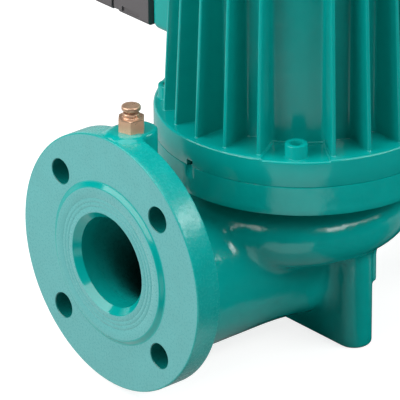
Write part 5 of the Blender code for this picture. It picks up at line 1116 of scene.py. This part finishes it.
@dataclass
class AirVent:
    """The brass air vent: a hexagon with a collar, and a flat round screw that lifts as it turns."""

    x: float = -156.2
    base: float = 192.6
    corner: float = 9.8
    corner_angle: float = 47.5
    top: float = 203.3
    collar: float = 5.8
    collar_top: float = 206.3
    knob: float = 6.6
    knob_low: float = 208.5
    knob_high: float = 211.7

    def build(self) -> None:
        """Turn the body, held to the hexagon where that is smaller, and the round knob over it."""
        angles = circle(180)
        six = hexagon(self.corner, angles - self.corner_angle)
        rows = [(six, self.base)]
        for drop in np.linspace(1.0, 0.0, 8):
            rows.append((np.minimum(six, self.corner * 0.90 + drop * 1.7), self.top - drop))
        rows += [(self.collar + 0.5, self.top), (self.collar, self.top + 0.5)]
        rows += [(self.collar, self.collar_top - 0.5), (self.collar - 0.5, self.collar_top)]
        rows.append((2.7, self.collar_top))
        place = (self.x, 0.0, 0.0)
        grid = turned(rows, angles) + place
        shell = Shell()
        # The hexagon takes the paler brass, as painted light on its facets; the collar takes the darker one.
        shell.patch(grid[:3], HEX_BRASS_PAINTED_LIGHT, closed=True)
        shell.patch(grid[2:], BRASS, closed=True)
        shell.seat("vent_hexagon", 25.0, "vent_body")
        rows = [(2.5, 198.9), (2.5, self.knob_low)]
        rows += arc(self.knob - 0.8, self.knob_low + 0.8, 0.8, -90.0, 0.0, 5)
        rows += arc(self.knob - 1.0, self.knob_high - 1.0, 1.0, 0.0, 90.0, 5)
        rows += [(3.0, self.knob_high - 0.1), (0.02, self.knob_high - 0.15)]
        made = Shell().patch(turned(rows, angles) + place, BRASS, closed=True)
        made.seat("vent_knob_turned", 40.0, "vent_screw", body="vent_knob")


def about(rows: Rows, angles: Array, origin: Point, axis: Point) -> Array:
    """Turn a (radius, distance) profile about any axis, as turned does about Z.

    Args:
        rows: (radius, distance) rows, either of which may differ from angle to angle.
        angles: degrees.
        origin: where the distance is 0.
        axis: direction of the axis, of unit length.

    Returns:
        Points, rows by angles by 3.
    """
    flat = turned(rows, angles)
    ahead = np.array(axis)
    side = np.cross((0.0, 0.0, 1.0), ahead)
    up = np.cross(ahead, side)
    return np.array(origin) + flat[..., :1] * side + flat[..., 1:2] * up + flat[..., 2:] * ahead


def pierced(
    shell: Shell,
    grid: Array,
    finish: Finish,
    ends: tuple[Point, Point],
    rows: list[tuple[float, float]],
    wall: float | None = None,
) -> None:
    """Fill a flat patch round an opening: its border is drawn towards a line, then led into the opening.

    Args:
        shell: the shell to add to.
        grid: the patch, whose border is kept.
        finish: its surface.
        ends: both ends of the opening's middle line, alike for a round one.
        rows: distance from that line and depth under the patch, row by row.
        wall: thickness, where the opening goes through and the far side is wanted too.
    """
    loop = np.concatenate((grid[0, :-1], grid[:-1, -1], grid[-1, :0:-1], grid[:0:-1, 0]))
    normal = np.cross(grid[0, -1] - grid[0, 0], grid[-1, 0] - grid[0, 0])
    normal /= np.linalg.norm(normal)
    start, line = np.array(ends[0]), np.array(ends[1]) - np.array(ends[0])
    share = np.clip((loop - start) @ line / max(line @ line, 1e-9), 0.0, 1.0)
    foot = start + share[:, None] * line
    reach = np.linalg.norm(loop - foot, axis=1, keepdims=True)
    out = (loop - foot) / reach
    loops = [loop, foot + out * np.maximum(reach - 0.4, reach * 0.9)]
    loops += [foot + out * radius - normal * depth for radius, depth in rows]
    if wall:
        loops.append(loop - normal * wall)
    shell.patch(np.array(loops), finish, closed=True)


@dataclass
class FanCover:
    """The pressed cover over the fan: a round cap with a grille of radial slots in its top."""

    radius: float = 92.93
    wall: float = 1.6
    low: float = 339.3
    top: float = 392.3
    bend: float = 10.0
    slots: int = 20
    slot_from: float = 26.0
    slot_to: float = 72.0
    slot_half: float = 2.5
    inside: float = 18.0
    outside: float = 80.0

    def build(self) -> None:
        """Turn the skirt and the middle, and set a sector with a slot between them for every slot."""
        shell = Shell()
        angles = np.arange(-9.0, 351.0, 2.0)
        middle, height = self.radius - self.bend, self.top - self.bend
        under = self.top - self.wall
        skirt = [(self.outside, under), *arc(middle, height, self.bend - self.wall, 90.0, 0.0, 9)]
        skirt += [(self.radius - self.wall, self.low + 0.4), (self.radius - self.wall + 0.4, self.low)]
        skirt += [(self.radius - 0.4, self.low), (self.radius, self.low + 0.4), (self.radius, self.low + 1.0)]
        skirt += arc(middle, height, self.bend, 0.0, 90.0, 9)
        skirt += [(middle - 0.5, self.top), (self.outside, self.top)]
        shell.patch(turned(skirt, angles), HOUSING_PAINT, closed=True)
        shell.patch(turned([(self.inside, self.top), (0.02, self.top)], angles), HOUSING_PAINT, closed=True)
        shell.patch(turned([(0.02, under), (self.inside, under)], angles), HOUSING_PAINT, closed=True)
        lip = ((0.8, 0.0), (0.35, 0.0), (0.1, 0.1), (0.0, 0.35), (0.0, self.wall))
        rows = [(self.slot_half + out, depth) for out, depth in lip]
        for slot in range(self.slots):
            centre = 360.0 / self.slots * slot
            way = polar(1.0, np.radians(centre))
            reach = (self.slot_from + self.slot_half, self.slot_to - self.slot_half)
            ends = tuple((*(way * out), self.top) for out in reach)
            profile = [(radius, self.top) for radius in np.linspace(self.outside, self.inside, 16)]
            sector = turned(profile, centre + np.arange(-9.0, 10.0, 2.0))
            pierced(shell, sector, HOUSING_PAINT, ends, rows, self.wall)
        shell.seat("fan_cover_pressing", 40.0, "fan_cover")


@dataclass
class CrossScrew:
    """A small pan-head screw with a cross recess.

    Attributes:
        node: the CAD node that it stands for.
        seat: where its head sits.
        axis: the way the head looks.
        head: radius of the head.
        height: height of the head.
        dome: how much of the height is rounded.
    """

    node: str
    seat: Point
    axis: Point
    head: float = 4.0
    height: float = 3.0
    dome: float = 0.6

    def build(self) -> None:
        """Turn the head and sink a recess whose radius swells in four lobes."""
        angles = circle(96)
        lobes = self.head * (0.24 + 0.30 * np.abs(np.cos(np.radians(2.0 * angles))) ** 4)
        top = self.height
        rows = [(1.9, -2.0), (1.9, 0.0), (self.head, 0.0)]
        for bend in np.linspace(0.0, math.pi / 2, 5):
            inward, down = 1 - math.cos(bend), 1 - math.sin(bend)
            rows.append((self.head - self.dome * inward * 1.6, top - self.dome * down))
        rows += [(lobes + 0.15, top), (lobes, top - 0.2), (lobes * 0.85, top - 1.1), (0.02, top - 1.5)]
        made = Shell().patch(about(rows, angles, self.seat, self.axis), BRIGHT, closed=True)
        made.seat(f"{self.node}_head", 30.0, self.node)


@dataclass
class TerminalBox:
    """The moulded terminal box: base with its side recess, lid and lid screws."""

    half: float = 55.0
    low: float = 208.1
    high: float = 303.1
    back: float = 102.1
    rim: float = 141.1
    lip: float = 6.0
    lid_back: float = 142.7
    face: float = 163.7
    corner: float = 3.0
    wall: float = 3.0
    screw_inset: float = 9.0
    gland_y: float = 121.6
    gland_z: float = 239.77
    recess: tuple[float, float, float] = (19.0, 3.4, 1.6)

    def ring(self, inset: float, y: float, lift: Array) -> Array:
        """Outline of the box at one depth: a rectangle with round corners, from the low end of its +X side.

        Args:
            inset: how far it is drawn in.
            y: depth.
            lift: heights of the points up each side, as shares between the corners.

        Returns:
            Points round the outline.
        """
        soft = self.corner
        round_ = max(soft - inset, 0.0)
        x, bottom, top = self.half - soft, self.low + soft, self.high - soft
        bend = np.radians(np.linspace(0.0, 90.0, 7))[1:-1]
        sides = np.stack((np.full(len(lift), x + round_), bottom + (top - bottom) * lift), axis=-1)
        across = np.stack((x - 2 * x * np.linspace(0.0, 1.0, 9), np.full(9, top + round_)), axis=-1)
        first = polar(round_, bend) + (x, top)
        second = polar(round_, bend + math.pi / 2) + (-x, top)
        if inset > soft:
            sides[:, 0] -= inset - soft
            sides[:, 1] = np.clip(sides[:, 1], self.low + inset, self.high - inset)
            across[:, 0] = np.clip(across[:, 0], inset - self.half, self.half - inset)
            across[:, 1] -= inset - soft
            first, second = (np.repeat(end, len(bend), axis=0) for end in (across[:1], across[-1:]))
        half_turn = np.concatenate((sides, first, across, second))
        middle = (self.low + self.high) / 2
        other = (half_turn - (0.0, middle)) * (-1.0, -1.0) + (0.0, middle)
        flat = np.concatenate((half_turn, other))
        return np.column_stack((flat[:, 0], np.full(len(flat), y), flat[:, 1]))

    def base(self) -> None:
        """Sweep the base from back to rim and inside again, press in the recess and open the gland's hole."""
        length, tall, deep = self.recess
        tall_share = (tall - 0.2) / (self.high - self.low - 2 * self.corner)
        share = np.array((0.0, 0.002, tall_share - 0.002, tall_share))
        lift = np.concatenate((np.linspace(0.0, 1.0, 9)[:-1], 1.0 - share[::-1]))
        near, far = self.gland_y - length / 2, self.gland_y + length / 2
        edge = self.rim - self.lip
        levels = [(6.0, self.back), (0.3, self.back), (0.0, self.back + 0.3)]
        levels += [(0.0, y) for y in (near - 0.1, near + 0.1, far - 0.1, far + 0.1, edge - 0.3)]
        levels += [(0.2, edge), (0.75, edge + 0.05), (0.75, self.rim - 0.2), (0.95, self.rim)]
        levels += [(self.wall, self.rim), (self.wall, self.back + self.wall), (40.0, self.back + self.wall)]
        grid = np.array([self.ring(inset, y, lift) for inset, y in levels])
        side = len(lift)
        height = self.low + self.corner + tall / 2 - 0.1
        sunk = np.abs(grid[..., 1] - self.gland_y) < length / 2
        sunk &= np.abs(grid[..., 2] - height) < tall / 2 - 0.1
        grid[..., 0] += deep * (sunk & (grid[..., 0] < 0.2 - self.half))
        shell = Shell()
        outer = grid[2:8]
        shell.patch(grid[:3], PLASTIC, closed=True, flip=True)
        shell.patch(np.concatenate((outer[:, side - 1 :], outer[:, :1]), axis=1), PLASTIC, flip=True)
        shell.patch(grid[7:], PLASTIC, closed=True, flip=True)
        centre = (self.half, self.gland_y, self.gland_z)
        hole = [(11.2, 0.0), (10.5, 0.0), (10.1, 0.4), (10.1, self.wall)]
        pierced(shell, outer[:, side - 1 :: -1][:, :side], PLASTIC, (centre, centre), hole)
        shell.seat("box_base_moulding", 40.0, "terminal_box_base")

    def lid(self) -> None:
        """Sweep the lid's side and rounded edge, and fill its face in quarters round the screws' holes."""
        lift = np.linspace(0.0, 1.0, 9)
        levels = [(self.wall, self.face - self.wall), (self.wall, self.lid_back)]
        levels += [(0.3, self.lid_back), (0.0, self.lid_back + 0.3)]
        levels += arc(self.corner, self.face - self.corner, self.corner, 180.0, 90.0, 6)
        shell = Shell()
        grid = np.array([self.ring(inset, y, lift) for inset, y in levels])
        shell.patch(grid, PLASTIC, closed=True, flip=True)
        middle, x = (self.low + self.high) / 2, self.half - self.corner
        rise = (self.high - self.low) / 2 - self.corner
        for sign_x in (-1.0, 1.0):
            for sign_z in (-1.0, 1.0):
                across = np.linspace(0.0, sign_x * x, 5)
                up = middle + np.linspace(0.0, sign_z * rise, 5)
                a, b = np.meshgrid(across, up, indexing="ij")
                grid = np.stack((a, np.full_like(a, self.face), b), axis=-1)
                grid = grid if sign_x * sign_z > 0 else grid[:, ::-1]
                lift_z = rise + self.corner - self.screw_inset
                spot = (sign_x * (self.half - self.screw_inset), self.face, middle + sign_z * lift_z)
                hole = [(5.2, 0.0), (4.7, 0.0), (4.3, 0.4), (4.3, 3.0), (0.02, 3.0)]
                pierced(shell, grid, PLASTIC, (spot, spot), hole)
        shell.seat("box_lid_moulding", 40.0, "terminal_box_lid")

    def build(self) -> None:
        """Make the base, the lid and its screws."""
        self.base()
        self.lid()
        x = self.half - self.screw_inset
        heights = (self.low + self.screw_inset, self.high - self.screw_inset)
        spots = [(side * x, z) for side in (-1.0, 1.0) for z in heights]
        for number, (across, z) in enumerate(spots, start=1):
            CrossScrew(f"lid_screw_{number}", (across, self.face - 2.7, z), (0.0, 1.0, 0.0)).build()


@dataclass
class CableGland:
    """The cable gland in the box's side: a hexagon on its thread and a ribbed cap over it."""

    y: float = 121.6
    z: float = 239.77
    wall: float = 55.3
    hex_end: float = 61.3
    hex_corner: float = 14.5
    cap: float = 13.1
    cap_from: float = 61.6
    cap_to: float = 75.6
    cap_end: float = 9.0
    bore: float = 6.0
    nose: float = 9.8
    ribs: int = 24

    def build(self) -> None:
        """Turn the body with its hexagon, and the cap with shallow ribs that die away towards its ends."""
        angles, axis, origin = circle(192), (1.0, 0.0, 0.0), (0.0, self.y, self.z)
        six = hexagon(self.hex_corner, angles)
        rows = [(self.bore, 71.3), (self.bore, 47.0), (self.nose, 47.0), (self.nose, self.wall)]
        narrow, wide = np.minimum(six, 13.4), np.minimum(six, 14.2)
        rows += [(narrow, self.wall), (wide, self.wall + 0.8)]
        rows += [(wide, self.hex_end - 0.8), (narrow, self.hex_end)]
        rows += [(self.nose, self.hex_end), (self.nose, 71.3), (self.bore, 71.3)]
        made = Shell().patch(about(rows, angles, origin, axis), PLASTIC, closed=True)
        made.seat("gland_body_turned", 30.0, "cable_gland_body")
        wave = 0.175 * (1.0 - np.cos(np.radians(self.ribs * angles)))
        ribs = ((0.0, 0.3), (0.0, 1.2), (1.0, 2.0), (1.0, 9.0), (0.0, 9.8))
        rows = [(10.1, 71.5), (10.1, self.cap_from), (self.cap - 0.3, self.cap_from)]
        rows += [(self.cap - wave * deep, self.cap_from + d) for deep, d in ribs]
        bend = np.linspace(0.0, math.pi / 2, 6)
        drop = self.cap - self.cap_end
        rows += [(self.cap_end + drop * math.cos(b), self.cap_to - 3.0 + 3.0 * math.sin(b)) for b in bend]
        rows += [(self.bore + 0.4, self.cap_to), (self.bore, self.cap_to - 0.4), (self.bore, 71.6)]
        made = Shell().patch(about(rows, angles, origin, axis), PLASTIC, closed=True)
        made.seat("gland_cap_turned", 35.0, "cable_gland_cap")


@dataclass(frozen=True)
class Lamp:
    """A soft rectangular lamp.

    Attributes:
        name: name of the lamp.
        place: where it hangs, in metres.
        size: its width and height in metres.
        power: watts.
        aim: where it looks, in metres.
    """

    name: str
    place: Point
    size: tuple[float, float]
    power: float
    aim: Point = (0.0, 0.0, 0.15)

    def build(self) -> None:
        """Hang the lamp, unseen by the lens."""
        data = bpy.data.lights.new(self.name, "AREA")
        data.shape = "RECTANGLE"
        data.size, data.size_y = self.size
        data.energy = self.power
        made = bpy.data.objects.new(self.name, data)
        made.location = self.place
        made.rotation_mode = "QUATERNION"
        made.rotation_quaternion = (Vector(self.aim) - Vector(self.place)).to_track_quat("-Z", "Y")
        made.visible_camera = False
        bpy.context.scene.collection.objects.link(made)


@dataclass
class Studio:
    """A white floor, soft lights and a camera at the photograph's place.

    Attributes:
        eye: the camera's place in metres.
        right: the picture's rightward direction.
        up: the picture's upward direction.
        ahead: the way the lens looks.
        lens: focal length in millimetres.
        sensor: width of the sensor in millimetres.
        floor_half: half the floor's width in metres.
        floor_shade: how pale the floor is to the lamps.
        floor_glow: how white it is to the lens.
        room_light: strength of the even light in the room.
        lamps: the soft lights.
    """

    eye: Point = (-1.782661, -1.972917, 1.359574)
    right: Point = (0.757528630, -0.652751097, -0.008147460)
    up: Point = (0.286542965, 0.321271990, 0.902594836)
    ahead: Point = (0.586552218, 0.686076026, -0.430413965)
    lens: float = 374.949
    sensor: float = 36.0
    floor_half: float = 8.0
    floor_shade: float = 0.42
    floor_glow: float = 0.80
    room_light: float = 0.08
    lamps: tuple[Lamp, ...] = (
        Lamp("overhead_softbox", (0.0, 0.0, 1.9), (1.5, 1.5), 17.0),
        Lamp("right_softbox", (0.6, -1.45, 1.38), (1.9, 0.50), 27.0),
        Lamp("left_softbox", (-1.40, 0.45, 1.00), (1.9, 1.4), 35.0),
    )

    def camera(self) -> None:
        """Stand the camera at its place, turned to its three directions."""
        data = bpy.data.cameras.new("camera")
        data.lens = self.lens
        data.sensor_width = self.sensor
        data.clip_start, data.clip_end = 0.1, 50.0
        made = bpy.data.objects.new("camera", data)
        made.location = self.eye
        made.rotation_mode = "QUATERNION"
        turn = Matrix((self.right, self.up, -Vector(self.ahead))).transposed()
        made.rotation_quaternion = turn.to_quaternion()
        bpy.context.scene.collection.objects.link(made)
        bpy.context.scene.camera = made

    def floor(self) -> None:
        """Lay the floor: white to the lens with a faint shadow, and to reflections where the paper lies, less
        a painted shadow round the pump.
        """
        mesh, h = bpy.data.meshes.new("floor"), self.floor_half
        mesh.from_pydata([(-h, -h, 0.0), (h, -h, 0.0), (h, h, 0.0), (-h, h, 0.0)], [], [(0, 1, 2, 3)])
        made = bpy.data.objects.new("floor", mesh)
        bpy.context.scene.collection.objects.link(made)
        paper = bpy.data.materials.new("floor_paper")
        paper.use_nodes = True
        paper.node_tree.nodes.clear()
        wiring = Wiring(paper.node_tree)
        path = wiring.node("LightPath").outputs
        seen = wiring.math("MAXIMUM", path["Is Camera Ray"], path["Is Transmission Ray"])
        white = wiring.node("Emission", {"Strength": wiring.math("MULTIPLY", seen, self.floor_glow)})
        shine = wiring.node("Emission", {"Strength": self.paper(wiring)})
        pale = wiring.node("BsdfDiffuse", {"Color": (*(self.floor_shade,) * 3, 1.0)})
        total = wiring.node("AddShader", {0: pale.outputs["BSDF"], 1: white.outputs["Emission"]})
        either = wiring.node("MixShader", {
            "Fac": path["Is Glossy Ray"], 1: total.outputs["Shader"], 2: shine.outputs["Emission"],
        })
        wiring.node("OutputMaterial", {"Surface": either.outputs["Shader"]})
        mesh.materials.append(paper)

    def paper(self, wiring: Wiring) -> Socket:
        """Where the paper lies: round the pump, and forward towards the camera in a strip, with a painted
        shadow of the pump over its footprint.

        Args:
            wiring: the floor material's nodes.

        Returns:
            1 on the paper, 0 beside it, and at most 0.34 in the painted shadow.
        """
        place = wiring.node("NewGeometry").outputs["Position"]
        aside = wiring.along(place, Vector((self.right[0], self.right[1], 0.0)).normalized())
        near = wiring.along(place, Vector((-self.ahead[0], -self.ahead[1], 0.0)).normalized())
        turn = wiring.math("ARCTAN2", aside, wiring.math("SUBTRACT", near, 0.12))
        strip = wiring.zone((turn, 0.43, 0.33), (turn, -0.85, -0.70), (near, 0.75, 0.42), (near, 0.14, 0.18))
        left = wiring.zone((near, 0.26, 0.20), (aside, -0.06, -0.12), (near, -0.10, -0.03))
        behind = wiring.math("MULTIPLY", wiring.ramp(near, 0.04, -0.04), 0.55)
        white = wiring.math("MAXIMUM", wiring.math("MAXIMUM", left, behind), strip)
        across = wiring.math("ABSOLUTE", wiring.along(place, Vector((0.0, 1.0, 0.0))))
        # Painted shadow: near the pump's footprint the reflected floor goes dark, lifted only to the dim band
        # under the pump.
        clear = wiring.ramp(wiring.along(place, Vector((1.0, 0.0, 0.0))), -0.130, -0.165)
        clear = wiring.math("MAXIMUM", clear, wiring.ramp(across, 0.05, 0.10))
        under = wiring.zone((aside, 0.05, 0.03), (near, 0.22, 0.18), (near, 0.03, 0.085))
        under = wiring.math("MULTIPLY", under, 0.34)
        return wiring.math("MAXIMUM", wiring.math("MULTIPLY", white, clear), under)

    def world(self) -> None:
        """Fill the room with a dim even light, with white to the lens and behind the pump in reflections."""
        world = bpy.data.worlds.new("room")
        world.use_nodes = True
        wiring = Wiring(world.node_tree)
        path = wiring.node("LightPath").outputs
        way = wiring.node("TexCoord").outputs["Generated"]
        behind = wiring.along(way, Vector((self.ahead[0], self.ahead[1], 0.0)).normalized())
        back = wiring.zone((behind, 0.5, 0.8), (wiring.along(way, Vector((0.0, 0.0, 1.0))), 0.45, 0.25))
        dim = wiring.math("MULTIPLY", path["Is Diffuse Ray"], self.room_light)
        dim = wiring.math("ADD", dim, wiring.math("MULTIPLY", path["Is Glossy Ray"], back))
        strength = wiring.math("ADD", dim, path["Is Camera Ray"])
        wiring.feed(world.node_tree.nodes["Background"], {"Color": WHITE, "Strength": strength})
        bpy.context.scene.world = world

    def build(self) -> None:
        """Set up the whole studio."""
        self.camera()
        self.floor()
        self.world()
        for lamp in self.lamps:
            lamp.build()
        bpy.context.scene.view_settings.view_transform = "Standard"


def dress(nodes: dict[str, bpy.types.Object]) -> None:
    """Give every carried-over node the finish whose name is the longest start of its own.

    Args:
        nodes: the CAD nodes by name.
    """
    finishes = {start: finish for finish, starts in CARRIED.items() for start in starts}
    for name, node in nodes.items():
        match = max((start for start in finishes if name.startswith(start)), key=len, default=None)
        if match and not node.hide_render:
            node.data.materials.clear()
            node.data.materials.append(finishes[match].material())


def main() -> None:
    """Build the pump over its CAD frame, then its studio."""
    logging.basicConfig(level=logging.INFO)
    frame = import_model()
    Casting().build()
    for side in Side:
        PipeFlange(side).build()
    CasingRing().build()
    MotorHousing().build()
    for number, angle in enumerate(QUARTERS, start=1):
        SocketScrew(number, angle).build()
    AirVent().build()
    FanCover().build()
    for number, angle in enumerate(np.radians(QUARTERS), start=1):
        way = (float(np.cos(angle)), float(np.sin(angle)), 0.0)
        seat = (COVER_SCREW_RADIUS * way[0], COVER_SCREW_RADIUS * way[1], COVER_SCREW_HEIGHT)
        CrossScrew(f"fan_cover_screw_{number}", seat, way, height=2.2, dome=1.2).build()
    TerminalBox().build()
    CableGland().build()
    dress(frame["nodes"])
    Studio().build()


if __name__ == "__main__":
    main()
